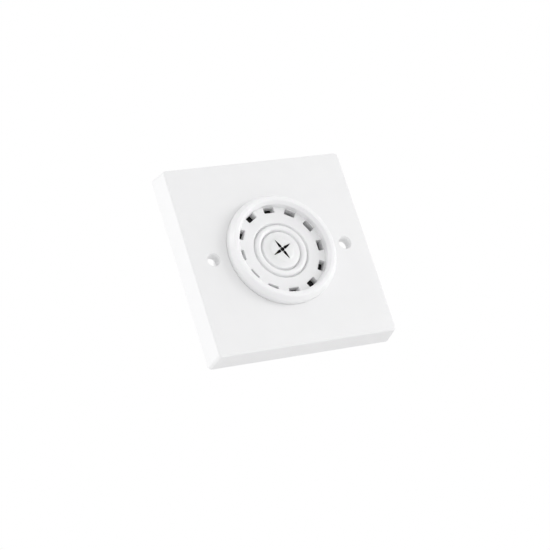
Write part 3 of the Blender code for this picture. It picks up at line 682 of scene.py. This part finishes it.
def paint(obj, look, chosen):
    """Gives a second look to the faces that chosen(centre, normal) picks, both in the plate's frame."""
    index = len(obj.data.materials)
    obj.data.materials.append(look)
    for face in obj.data.polygons:
        c, n = face.center / MM, face.normal
        if chosen(Vector((c.x, c.z, -c.y)), Vector((n.x, n.z, -n.y))):
            face.material_index = index


# ---------------------------------------------------------------- gasket, nut, can and cover

NUT_BORE_R = NECK_R + 0.2
NUT_GRIPS = 8
CAN_SPIGOT_R = 19.45
CAN_R = 20.9
CAN_BORE_R = 18.2
CAN_GROOVE = ((1.9, 0.0), (1.7, 0.35), (1.4, 0.35), (1.2, 0.0))  # (height above the can's rear, depth)
CAN_RIBS = 72
CAN_RIB_R = 0.25
LEDGE_R = 16.2
PILLAR_R = 2.8
SCREW_CIRCLE_R = 15.6
SCREW_ANGLES = (90, 210, 330)
COVER_SCREW_R = 1.05
COVER_GROOVE = ((2.2, 0.0), (2.4, 0.25), (2.8, 0.25), (3.0, 0.0))  # (distance in from the rim, depth)
BOSS_R = 3.0
CROSS = ((0.6, 1.2, 0.3), (1.7, 2.6, 0.56))  # (height, length, width) of the arms of a cross recess

CAN_LOW, CAN_HIGH = local_box("siren_can")
COVER_LOW, COVER_HIGH = local_box("rear_cover")
BOARD_LOW, BOARD_HIGH = local_box("circuit_board")
CAN_SHOULDER = NECK_LOW - GAP
LEDGE_TOP = FACE - 8.1
LEDGE_UNDER = LEDGE_TOP - 1.4
PILLAR_TOP = FACE - 10.5
BOARD_FRONT = BOARD_HIGH.z
BOARD_REAR = BOARD_LOW.z
BLOCK_CENTRE_Y = -5.5
WAYS = 4
WAY_PITCH = 5.08
TERMINAL_SCREW_Y = -0.2
TO_TERMINALS = Matrix.Translation((0, BLOCK_CENTRE_Y, BOARD_REAR)) @ Matrix.Rotation(math.pi, 4, "X")


def way_x(way):
    return (way - (WAYS - 1) / 2) * WAY_PITCH


def make_gasket():
    low, high = local_box("bezel_gasket")
    gasket = ring(NECK_R + 0.9, high.x, low.z, high.z, 0.15, 192)
    piece("gasket_ring", solid(gasket), RUBBER_LOOK, ["bezel_gasket"])


def make_nut():
    low, high = local_box("ring_nut")
    nut_r = high.x
    body_r, flange_low = nut_r - 0.5, high.z - 1.6
    section = [
        (NUT_BORE_R, high.z, 0.3),
        (nut_r, high.z, 0.3),
        (nut_r, flange_low + 0.2, 0.3),
        (body_r, flange_low, 0.2),
        (body_r, low.z, 0.6),
        (NUT_BORE_R + 0.4, low.z, 0.2),
        (NUT_BORE_R, low.z + 0.4, 0.1),
    ]
    nut = solid(turned(filleted(section, 5, closed=True), 192, closed=True))
    scallops, ribs = [], []
    for index in range(NUT_GRIPS):
        bearing = index * 360 / NUT_GRIPS
        scallops.append(post(1.6, low.z - PAST, flange_low, 32, nut_r + 0.4, bearing))
        for offset in (-10, -5, 0, 5, 10):
            between = bearing + 180 / NUT_GRIPS + offset
            ribs.append(post(0.45, low.z + 0.6, high.z - 1.2, 16, body_r - 0.05, between))
    join(nut, together(*ribs))
    cut(nut, together(*scallops))
    piece("nut_moulding", nut, PLATE_LOOK, ["ring_nut"])


def make_can():
    section = [
        (CAN_SPIGOT_R, CAN_HIGH.z, 0.3),
        (CAN_SPIGOT_R, CAN_SHOULDER, 0.1),
        (CAN_R, CAN_SHOULDER, 0.3),
        *[(CAN_R - deep, CAN_LOW.z + rise, 0.1) for rise, deep in CAN_GROOVE],
        (CAN_R, CAN_LOW.z, 0.15),
        (CAN_BORE_R, CAN_LOW.z, 0.15),
        (CAN_BORE_R, LEDGE_UNDER, 0.2),
        (LEDGE_R, LEDGE_UNDER, 0.2),
        (LEDGE_R, LEDGE_TOP, 0.2),
        (CAN_BORE_R, LEDGE_TOP, 0.1),
        (CAN_BORE_R, CAN_HIGH.z, 0.15),
    ]
    can = solid(turned(filleted(section, 4, closed=True), 192, closed=True))
    foot = BOARD_FRONT + GAP
    for degrees in SCREW_ANGLES:
        join(can, post(PILLAR_R, foot, PILLAR_TOP, 48, SCREW_CIRCLE_R, degrees))
        cut(can, post(COVER_SCREW_R + 0.15, foot - PAST, PILLAR_TOP - 2, 32, SCREW_CIRCLE_R, degrees))
    ribs = []
    for index in range(CAN_RIBS):
        bearing = index * 360 / CAN_RIBS
        ribs.append(post(CAN_RIB_R, CAN_LOW.z + 2.3, CAN_SHOULDER - 0.7, 10, CAN_R - CAN_RIB_R, bearing))
    join(can, together(*ribs))
    piece("can_moulding", can, PLATE_LOOK, ["siren_can"])


def make_cover():
    top, rear = COVER_HIGH.z, COVER_LOW.z
    recess_r, recess = 17.0, 0.7
    section = [
        (0, top - recess, 0),
        (recess_r - 0.2, top - recess, 0.2),
        (recess_r, top, 0.2),
        (CAN_R, top, 0.15),
        (CAN_R, rear, 0.5),
        *[(CAN_R - inset, rear + deep, 0.1) for inset, deep in COVER_GROOVE],
        (0, rear, 0),
    ]
    cover = solid(turned(filleted(section, 4), 192))
    for degrees in SCREW_ANGLES:
        join(cover, post(BOSS_R, rear + 0.4, top - 0.03, 48, SCREW_CIRCLE_R, degrees))
    hole_r = COVER_SCREW_R + 0.25
    holes = [post(hole_r, rear - PAST, top + PAST, 32, SCREW_CIRCLE_R, degrees) for degrees in SCREW_ANGLES]
    cut(cover, together(*holes))
    block_low, block_high = local_box("terminal_block")
    middle = ((block_low.x + block_high.x) / 2, (block_low.y + block_high.y) / 2)
    wide = block_high.x - block_low.x + 2 * GAP
    tall = block_high.y - block_low.y + 2 * GAP
    window = lofted([(h, rounded_rectangle(wide, tall, 0.3, middle)) for h in (rear - PAST, top + PAST)])
    levels = ((rear - 0.2, 1.0), (rear + 0.4, 0.0))
    chamfer = lofted([(h, rounded_rectangle(wide + g, tall + g, 0.4, middle)) for h, g in levels])
    cut(cover, window, chamfer)
    cut_polarity_marks(cover, block_high.y + 1.8, rear)
    piece("cover_moulding", cover, PLATE_LOOK, ["rear_cover"])


def cut_polarity_marks(cover, y, rear):
    """A plus or a minus by each terminal, by turns."""
    half_long, half_thin, deep = 0.8, 0.17, 0.2
    for way in range(WAYS):
        x = way_x(way)
        bars = [(half_long, half_thin)]
        if way % 2 == 0:
            bars.append((half_thin, half_long))
        for half_x, half_y in bars:
            cut(cover, box((x - half_x, y - half_y, rear - PAST), (x + half_x, y + half_y, rear + deep)))


def make_cover_screws():
    head_r, core_r, shank_end = 2.2, 0.82, -8.2
    profile = [
        (0, 1.5, 0),
        (1.3, 1.45, 0.6),
        (head_r, 0.9, 0.5),
        (head_r, 0, 0.15),
        (core_r, 0, 0.1),
        (core_r, shank_end, 0),
        (0, -9.0, 0),
    ]
    for index, degrees in enumerate(SCREW_ANGLES, 1):
        screw = solid(turned(filleted(profile, 5), 48))
        arm = [(height, rounded_rectangle(long, wide, 0.08, steps=2)) for height, long, wide in CROSS]
        cut(screw, lofted(arm), moved(lofted(arm), turn=math.pi / 2))
        attach(screw, ridge(core_r, COVER_SCREW_R, -8.4, -0.6, 0.8))
        place = Matrix.Translation((*on_circle(SCREW_CIRCLE_R, degrees), COVER_LOW.z - GAP))
        screw.data.transform(place @ Matrix.Rotation(math.pi, 4, "X") @ Matrix.Rotation(0.4 * index, 4, "Z"))
        piece(f"cover_fastener_{index}", screw, STEEL_LOOK, [f"cover_screw_{index}"])


# ---------------------------------------------------------------- terminals, drawn with z out of the board


def make_terminal_block():
    low_x, high_x = -WAYS * WAY_PITCH / 2 - 0.5, WAYS * WAY_PITCH / 2 + 0.5
    low_y, high_y, top = -4.0, 4.2, 11.4
    hollows = (  # the corners of the cage's well, the wire's way in and the contact's slot
        ((-1.95, -2.4, -PAST), (1.95, 2.0, 8.6)),
        ((-1.6, 0.5, 2.2), (1.6, high_y + PAST, 5.2)),
        ((-1.3, -3.6, -PAST), (1.3, -0.5, 5.2)),
    )
    mouth = ((3.3, 3.2, 3.0, 0.3), (4.4, 4.3, 4.0, 0.5))  # (distance out, width, height, corner)
    seat = [(0, 12.5), (2.5, 12.5), (2.5, top), (1.9, top - 0.5)]
    seat += [(1.9, 9.3), (1.3, 9.3), (1.3, 7.6), (0, 7.6)]
    half_seam = 0.12
    body = solid(block((low_x, low_y, GAP), (high_x, high_y, top), 0.35))
    wells, seats, mouths, seams = [], [], [], []
    for way in range(WAYS):
        x = way_x(way)
        for low, high in hollows:
            wells.append(box((x + low[0], *low[1:]), (x + high[0], *high[1:])))
        levels = []
        for out, wide, tall, corner in mouth:
            levels.append((out, rounded_rectangle(wide, tall, corner, (x, -3.7))))
        mouths.append(moved(lofted(levels), turn=-math.pi / 2, about="X"))
        seats.append(moved(turned(seat, 48), (x, TERMINAL_SCREW_Y, 0)))
        if way:
            left, right = x - WAY_PITCH / 2 - half_seam, x - WAY_PITCH / 2 + half_seam
            seams.append(box((left, low_y - PAST, top - 0.45), (right, high_y + PAST, top + PAST)))
            seams.append(box((left, high_y - 0.35, 0), (right, high_y + PAST, top + PAST)))
    for tool in (*wells, *seats, *mouths, *seams):
        cut(body, tool)
    body.data.transform(TO_TERMINALS)
    piece("block_moulding", body, TERMINAL_LOOK, ["terminal_block"])


def make_terminal_screw(way):
    head_low, head_high, tip = 9.5, 10.8, 5.2
    head_r, core_r, tip_r = 1.7, 0.88, 0.6
    profile = [
        (0, head_high, 0),
        (head_r, head_high, 0.25),
        (head_r, head_low, 0.12),
        (core_r, head_low, 0.08),
        (core_r, tip + 0.3, 0.1),
        (tip_r, tip, 0.1),
        (0, tip, 0),
    ]
    screw = solid(turned(filleted(profile, 4), 48))
    cut(screw, moved(box((-2.2, -0.3, head_low + 0.6), (2.2, 0.3, 12)), turn=0.5 + 0.7 * way))
    attach(screw, ridge(core_r, 1.1, tip + 0.2, head_low - 0.1, 0.45))
    screw.data.transform(TO_TERMINALS @ Matrix.Translation((way_x(way), TERMINAL_SCREW_Y, 0)))
    number = way + 1
    nodes = [f"terminal_screw_{number}"]
    piece(f"clamping_screw_{number}", screw, STEEL_LOOK, nodes, f"screw_{number}")


def make_terminal_clamp(way):
    cage = solid(block((-1.7, -2.1, 1.8), (1.7, 1.7, 6.5), 0.22))
    window = block((-1.2, -3, 2.4), (1.2, 3, 5.5), 0.2)
    hole = turned([(0, 7), (1.5, 7), (1.25, 6.3), (1.25, 5), (0, 5)], 48)
    cut(cage, window, moved(hole, (0, TERMINAL_SCREW_Y, 0)))
    for y in (-1.2, -0.4, 0.4, 1.2):  # grooves that grip the wire
        cut(cage, box((-2, y - 0.12, 2.2), (2, y + 0.12, 2.52)))
    cage.data.transform(TO_TERMINALS @ Matrix.Translation((way_x(way), 0, 0)))
    number = way + 1
    nodes = [f"terminal_clamp_{number}"]
    piece(f"rising_cage_{number}", cage, CAGE_LOOK, nodes, f"clamp_{number}")


def make_terminal_contact(way):
    strip = solid(block((-1.05, -3.3, 4.3), (1.05, 1.5, 4.9), 0.12))
    join(strip, block((-0.5, -3.28, 0.3), (0.5, -2.7, 4.8), 0.1))
    for y in (-0.9, -0.3, 0.3, 0.9):
        cut(strip, box((-2, y - 0.08, 4.2), (2, y + 0.08, 4.4)))
    strip.data.transform(TO_TERMINALS @ Matrix.Translation((way_x(way), 0, 0)))
    number = way + 1
    nodes = [f"terminal_contact_{number}"]
    piece(f"contact_strip_{number}", strip, TINNED_LOOK, nodes)


# ---------------------------------------------------------------- sound parts

DIAPHRAGM_LOW, DIAPHRAGM_HIGH = local_box("brass_diaphragm")
CERAMIC_LOW, CERAMIC_HIGH = local_box("piezo_ceramic")
ELECTRODE_R = 11.4
LEAD_R = 0.44
STAND = BOARD_FRONT + GAP  # where the parts stand in front of the board
LEAD_ENDS = ((12, 2), (14, -2.5))


def make_baffle():
    low, high = local_box("acoustic_baffle")
    plate_low = high.z - 1.0
    bore_r, tube_in_r, tube_out_r = 2.2, 9.5, 10.5
    section = [
        (bore_r, high.z, 0.3),
        (CAN_SPIGOT_R, high.z, 0.2),
        (CAN_SPIGOT_R, plate_low, 0.2),
        (tube_out_r, plate_low, 0.1),
        (tube_out_r, low.z, 0.2),
        (tube_in_r, low.z, 0.2),
        (tube_in_r, plate_low, 0.1),
        (bore_r, plate_low, 0.3),
    ]
    baffle = turned(filleted(section, 4, closed=True), 128, closed=True)
    piece("baffle_moulding", solid(baffle), BLACK_LOOK, ["acoustic_baffle"])


def thin_disc(low, high, *marks):
    """A thin disc between two heights, with rings of points on its rear face at the marked radii."""
    edge = 0.08
    rings = [(radius, low.z, 0) for radius in marks]
    profile = [(0, high.z, 0), (high.x, high.z, edge), (high.x, low.z, edge), *rings, (0, low.z, 0)]
    return solid(turned(filleted(profile, 3), 128))


def make_sound_parts():
    make_baffle()
    low, high = local_box("diaphragm_clamp")
    hold = ring(LEDGE_R + GAP, high.x, low.z, high.z, 0.25)
    piece("clamp_ring", solid(hold), BLACK_LOOK, ["diaphragm_clamp"])
    low, high = local_box("diaphragm_seat")
    seat = ring(LEDGE_R, high.x, low.z, high.z, 0.3)
    piece("seat_ring", solid(seat), RUBBER_LOOK, ["diaphragm_seat"])
    diaphragm = thin_disc(DIAPHRAGM_LOW, DIAPHRAGM_HIGH)
    piece("diaphragm_disc", diaphragm, DISC_LOOK, ["brass_diaphragm"])
    ceramic = thin_disc(CERAMIC_LOW, CERAMIC_HIGH, ELECTRODE_R)
    piece("ceramic_disc", ceramic, CERAMIC_LOOK, ["piezo_ceramic"])
    paint(ceramic, TINNED_LOOK, lambda c, n: n.z < -0.9 and math.hypot(c.x, c.y) < ELECTRODE_R)


def make_leads():
    start = CERAMIC_LOW.z - 0.8
    red = [(3, 4, start), (6, 4.5, start - 0.6), (10.5, 4, start - 3), (12.2, 2.5, start - 7)]
    black = [(13.9, 0, start + 0.4), (14.2, -0.6, start - 2)]
    black += [(14.6, -1.6, start - 5), (14.2, -2.4, start - 8)]
    for name, route, end, look in (
        ("lead_red", red, LEAD_ENDS[0], RED_LOOK),
        ("lead_black", black, LEAD_ENDS[1], BLACK_LEAD_LOOK),
    ):
        lead = solid(tube(smooth_route([*route, (*end, STAND)]), LEAD_R))
        piece(name, lead, look, [f"piezo_{name}"], smooth=50)
    joints = [
        moved(dome(1.0, 0.6), (*red[0][:2], CERAMIC_LOW.z), math.pi, "X"),
        moved(dome(0.9, 0.6), (*black[0][:2], DIAPHRAGM_LOW.z), math.pi, "X"),
    ]
    piece("disc_solder", solid(together(*joints)), SOLDER_LOOK, [])


# ---------------------------------------------------------------- board and its parts

BOARD_R = 17.7
AXIS_HIGH = STAND + 1.7
PIN_PITCH, LEG_PITCH = 2.54, 1.27
COIL_AT = (-6.2, -5.4, STAND)
CAPACITOR_AT = Vector((-8.2, 5.4, STAND))
DRIVER_AT = (3.4, -2.0, STAND)
TRANSISTORS_AT = ((-1.6, 7.0, STAND), (-7.2, 11.6, STAND))
RESISTORS_AT = ((3.8, -8.6, AXIS_HIGH), (6.0, 4.2, AXIS_HIGH), (6.0, 7.6, AXIS_HIGH))
DIODE_AT = Vector((6.6, 11.2, AXIS_HIGH))
DIODE_TILT = 0.3
DIODE_ALONG = Vector((math.cos(DIODE_TILT), math.sin(DIODE_TILT), 0))
RESISTOR_BANDS = (
    (BROWN, BLACK, RED, GOLD),
    (RED, RED, ORANGE, GOLD),
    (BROWN, BLACK, ORANGE, GOLD),
)


def soldered_places():
    """Where the pins that aren't under the terminal block come out of the board's rear."""
    places = [(DRIVER_AT[0] + (column - 1.5) * PIN_PITCH, 0.8) for column in range(4)]
    places += [(x + column * LEG_PITCH, y) for x, y, _ in TRANSISTORS_AT for column in (-1, 0, 1)]
    places += [(CAPACITOR_AT.x + side * 1.25, CAPACITOR_AT.y) for side in (-1, 1)]
    places += [(x + side * 4.0, y) for x, y, _ in RESISTORS_AT[1:] for side in (-1, 1)]
    places += LEAD_ENDS
    places += [(DIODE_AT + side * 3.8 * DIODE_ALONG)[:2] for side in (-1, 1)]
    return places


def make_board():
    board = [(0, BOARD_FRONT, 0), (BOARD_R, BOARD_FRONT, 0.1)]
    board += [(BOARD_R, BOARD_REAR, 0.1), (0, BOARD_REAR, 0)]
    laminate = solid(turned(filleted(board, 3), 128))
    low, high = BOARD_REAR - PAST, BOARD_FRONT + PAST
    holes = [post(1.35, low, high, 32, SCREW_CIRCLE_R, degrees) for degrees in SCREW_ANGLES]
    cut(laminate, together(*holes))
    piece("board_disc", laminate, BOARD_LOOK, ["circuit_board"])
    joints = [moved(dome(0.8, 0.65), (*at, BOARD_REAR), math.pi, "X") for at in soldered_places()]
    joints += [moved(dome(0.9, 0.5), (way_x(way), BLOCK_CENTRE_Y + 3.0, BOARD_FRONT)) for way in range(WAYS)]
    piece("board_solder", solid(together(*joints)), SOLDER_LOOK, [])


def make_coil():
    flange_r, core_r, top, flange = 3.9, 1.8, 8.0, 1.1
    core = [
        (0, top, 0),
        (flange_r, top, 0.25),
        (flange_r, top - flange, 0.25),
        (core_r, top - flange, 0.1),
        (core_r, flange, 0.1),
        (flange_r, flange, 0.25),
        (flange_r, 0, 0.2),
        (0, 0, 0),
    ]
    drum = solid(moved(turned(filleted(core, 4), 64), COIL_AT))
    cut(drum, moved(rod(0.8, top - 0.6, top + PAST, 32), COIL_AT))
    piece("coil_drum", drum, FERRITE_LOOK, ["coil_core"])
    inner, outer, low, high, wire = 2.1, 3.3, 1.4, 6.6, 0.26
    section = [(inner, high), (inner, low)]
    for turn in range(int((high - low) / wire)):  # a bulge for each turn of the wire
        base = low + turn * wire
        section += [(outer - 0.1, base + 0.01), (outer - 0.02, base + wire * 0.25)]
        section += [(outer, base + wire * 0.5), (outer - 0.02, base + wire * 0.75)]
    winding = solid(moved(turned(section, 64, closed=True), COIL_AT))
    piece("coil_wire", winding, COPPER_LOOK, ["coil_winding"], smooth=60)


def make_capacitor():
    can_r, crimp_r, top_r = 3.15, 2.85, 2.35
    profile = [
        (0, 8.0, 0),
        (top_r, 8.0, 0.1),
        (top_r + 0.1, 8.2, 0.1),
        (can_r, 8.15, 0.5),
        (can_r, 1.8, 0.3),
        (crimp_r, 1.5, 0.3),
        (can_r, 1.2, 0.3),
        (can_r, 0, 0.2),
        (0, 0, 0),
    ]
    at = CAPACITOR_AT
    can = solid(moved(turned(filleted(profile, 4), 64), at))
    for turn in (0.3, 0.3 + math.pi / 2):
        cut(can, moved(box((-1.7, -0.09, 7.85), (1.7, 0.09, 9)), at, turn))
    piece("capacitor_can", can, SLEEVE_LOOK, ["capacitor"])
    stripe = math.radians(200)

    def on_top(c, n):
        return math.hypot(c.x - at.x, c.y - at.y) < top_r - 0.01 and c.z > at.z + 7.5

    def in_stripe(c, n):
        angle = math.atan2(c.y - at.y, c.x - at.x) - stripe
        off = (angle + math.pi) % math.tau - math.pi
        return abs(off) < 0.3 and abs(n.z) < 0.4 and c.z > at.z + 1.6

    paint(can, STEEL_LOOK, on_top)
    paint(can, STRIPE_LOOK, in_stripe)


def make_driver():
    half_x, half_y, low, top = 4.8, 3.1, 0.6, 3.8
    body = solid(block((-half_x, -half_y, low), (half_x, half_y, top), 0.12))
    cut(body, moved(rod(0.8, top - 0.4, top + 1.2, 32), (-half_x, 0, 0)))
    cut(body, moved(rod(0.4, top - 0.15, top + 1.2, 24), (-half_x + 1.0, -half_y + 1.0, 0)))
    body.data.transform(Matrix.Translation(DRIVER_AT))
    piece("driver_case", body, EPOXY_LOOK, ["driver_ic"])
    legs = []
    for side in (-1, 1):
        for column in range(4):
            x = (column - 1.5) * PIN_PITCH
            leg = sorted((2.95 * side, 3.25 * side))
            shoulder = sorted((2.95 * side, 3.75 * side))
            legs.append(block((x - 0.25, leg[0] - 0.03, -GAP), (x + 0.25, leg[1] + 0.03, 2.0), 0.05))
            legs.append(block((x - 0.35, shoulder[0], 1.6), (x + 0.35, shoulder[1], 2.05), 0.05))
    pins = solid(moved(together(*legs), DRIVER_AT))
    piece("driver_legs", pins, TINNED_LOOK, ["driver_ic"])


def make_transistors():
    arc = [math.radians(-45 + step * 10) for step in range(28)]  # the rest of the round is the flat side
    for index, at in enumerate(TRANSISTORS_AT, 1):
        outlines = []
        for height, radius in ((2.2, 2.2), (2.3, 2.3), (6.7, 2.3), (6.8, 2.2)):
            outlines.append((height, [(radius * math.cos(a), radius * math.sin(a)) for a in arc]))
        nodes = [f"transistor_{index}"]
        case = solid(moved(lofted(outlines), at))
        piece(f"transistor_case_{index}", case, EPOXY_LOOK, nodes)
        half = 0.2
        legs = []
        for x in (-LEG_PITCH, 0.0, LEG_PITCH):
            legs.append(block((x - half, -half, -GAP), (x + half, half, 2.6), 0.04))
        wires = solid(moved(together(*legs), at))
        piece(f"transistor_legs_{index}", wires, TINNED_LOOK, nodes)


def axial(half, radius, waist, marks):
    """A body along x, its axis at z = 0, with a ring of points at every mark, to paint bands between."""
    ends = [(0, half), (radius * 0.7, half), (radius, half - 0.35)]
    ends += [(radius, half - 1.3), (waist, half - 1.7)]
    profile = ends + [(r, -x) for r, x in reversed(ends)]
    fine = []
    for (r0, x0), (r1, x1) in zip(profile, profile[1:]):
        fine.append((r0, x0))
        for mark in sorted((m for m in marks if min(x0, x1) < m < max(x0, x1)), reverse=True):
            share = (mark - x0) / (x1 - x0)
            fine.append((r0 + (r1 - r0) * share, mark))
    fine.append(profile[-1])
    return moved(turned(fine, 40), turn=math.pi / 2, about="Y")


def axial_leads(half):
    """Two wires that leave a body's ends along x and bend down to the board."""
    reach = half + 1.3
    route = ((half - 0.3, 0), (reach - 0.5, 0), (reach, -0.5), (reach, -2.0))
    wires = [tube(smooth_route([(side * x, 0, z) for x, z in route], 6), 0.3, 12) for side in (-1, 1)]
    return together(*wires)


def make_resistor(number, at, colours):
    name = f"resistor_{number}"
    half = 2.7
    bands = ((-2.1, -1.7), (-0.9, -0.5), (0.1, 0.5), (1.7, 2.1))
    body = solid(moved(axial(half, 1.1, 0.95, [edge for band in bands for edge in band]), at))
    piece(f"{name}_body", body, RESISTOR_LOOK, [name])
    for (low, high), colour in zip(bands, colours):
        paint(body, band_look(colour), lambda c, n: low < c.x - at[0] < high)
    wires = solid(moved(axial_leads(half), at))
    piece(f"{name}_leads", wires, TINNED_LOOK, [name], smooth=60)


def make_diode():
    half = 2.5
    band = (1.0, 1.7)
    body = solid(moved(axial(half, 1.3, 1.3, band), DIODE_AT, DIODE_TILT))
    piece("diode_body", body, EPOXY_LOOK, ["diode"])
    paint(body, STRIPE_LOOK, lambda c, n: band[0] < (c - DIODE_AT).dot(DIODE_ALONG) < band[1])
    wires = solid(moved(axial_leads(half), DIODE_AT, DIODE_TILT))
    piece("diode_leads", wires, TINNED_LOOK, ["diode"], smooth=60)


def make_works():
    make_gasket()
    make_nut()
    make_can()
    make_cover()
    make_cover_screws()
    make_terminal_block()
    for way in range(WAYS):
        make_terminal_screw(way)
        make_terminal_clamp(way)
        make_terminal_contact(way)
    make_sound_parts()
    make_leads()
    make_board()
    make_coil()
    make_capacitor()
    make_driver()
    make_transistors()
    for number, (at, colours) in enumerate(zip(RESISTORS_AT, RESISTOR_BANDS), 1):
        make_resistor(number, at, colours)
    make_diode()


# ---------------------------------------------------------------- camera, light and floor

CAMERA_AT = (-0.37231, -0.65783, -0.25213)
CAMERA_AIM = (-0.00589, -0.0105, -0.0099)
CAMERA_ROLL = math.radians(17.81)
CAMERA_LENS = 128.3


def make_camera():
    data = bpy.data.cameras.new("camera")
    data.lens = CAMERA_LENS
    data.clip_start = 0.01
    camera = bpy.data.objects.new("camera", data)
    bpy.context.scene.collection.objects.link(camera)
    camera.location = CAMERA_AT
    camera.rotation_mode = "QUATERNION"
    level = (Vector(CAMERA_AIM) - Vector(CAMERA_AT)).to_track_quat("-Z", "Y")
    camera.rotation_quaternion = level @ Matrix.Rotation(-CAMERA_ROLL, 3, "Z").to_quaternion()
    bpy.context.scene.camera = camera


def make_world(ambient):
    world = bpy.data.worlds.new("studio")
    bpy.context.scene.world = world
    world.use_nodes = True
    nodes, links = world.node_tree.nodes, world.node_tree.links
    background = nodes["Background"]
    background.inputs["Color"].default_value = (1, 1, 1, 1)
    path = nodes.new("ShaderNodeLightPath")
    level = nodes.new("ShaderNodeMapRange")
    level.inputs["To Min"].default_value = ambient
    level.inputs["To Max"].default_value = 1.0
    links.new(path.outputs["Is Camera Ray"], level.inputs["Value"])
    links.new(level.outputs["Result"], background.inputs["Strength"])


LIGHT_SIZE = 0.55
LIGHT_DISTANCE = 1.3
LIGHTS = (  # name, bearing round the plate from its right, height above its face, watts
    ("right", 0, 20, 1.7),
    ("front_right", 0, 42, 3.1),
    ("upper_left", 135, 5, 2.4),
    ("upper_right", 45, 5, 0.8),
    ("left_rear", 180, -15, 4.1),
    ("front_left", 225, 68, 1.3),
)
AMBIENT = 0.736


def area_light(name, bearing, height, power):
    data = bpy.data.lights.new(name, "AREA")
    data.shape = "DISK"
    data.size = LIGHT_SIZE
    data.energy = power
    light = bpy.data.objects.new(name, data)
    bpy.context.scene.collection.objects.link(light)
    x, y = on_circle(math.cos(math.radians(height)), bearing)
    direction = Vector((x, -math.sin(math.radians(height)), y))
    light.location = direction * LIGHT_DISTANCE
    light.rotation_euler = (-direction).to_track_quat("-Z", "Y").to_euler()


FLOOR_LEVEL = -0.75
FLOOR_HALF = 3.0


def make_floor():
    bm = bmesh.new()
    bmesh.ops.create_grid(bm, x_segments=8, y_segments=8, size=FLOOR_HALF)
    bm.transform(Matrix.Translation((0, 0, FLOOR_LEVEL)))
    mesh = bpy.data.meshes.new("floor")
    bm.to_mesh(mesh)
    bm.free()
    floor = bpy.data.objects.new("floor", mesh)
    bpy.context.scene.collection.objects.link(floor)
    look = Look("floor", (0.9, 0.9, 0.9), 0.6)
    look.tint(look.noise(400.0), (0.89, 0.89, 0.89), (0.91, 0.91, 0.91))
    mesh.materials.append(look.material)


# ---------------------------------------------------------------- assembly

make_camera()
make_world(AMBIENT)
make_floor()
for light in LIGHTS:
    area_light(*light)
make_plate()
make_grille()
make_works()
bpy.context.scene.view_settings.view_transform = "Standard"
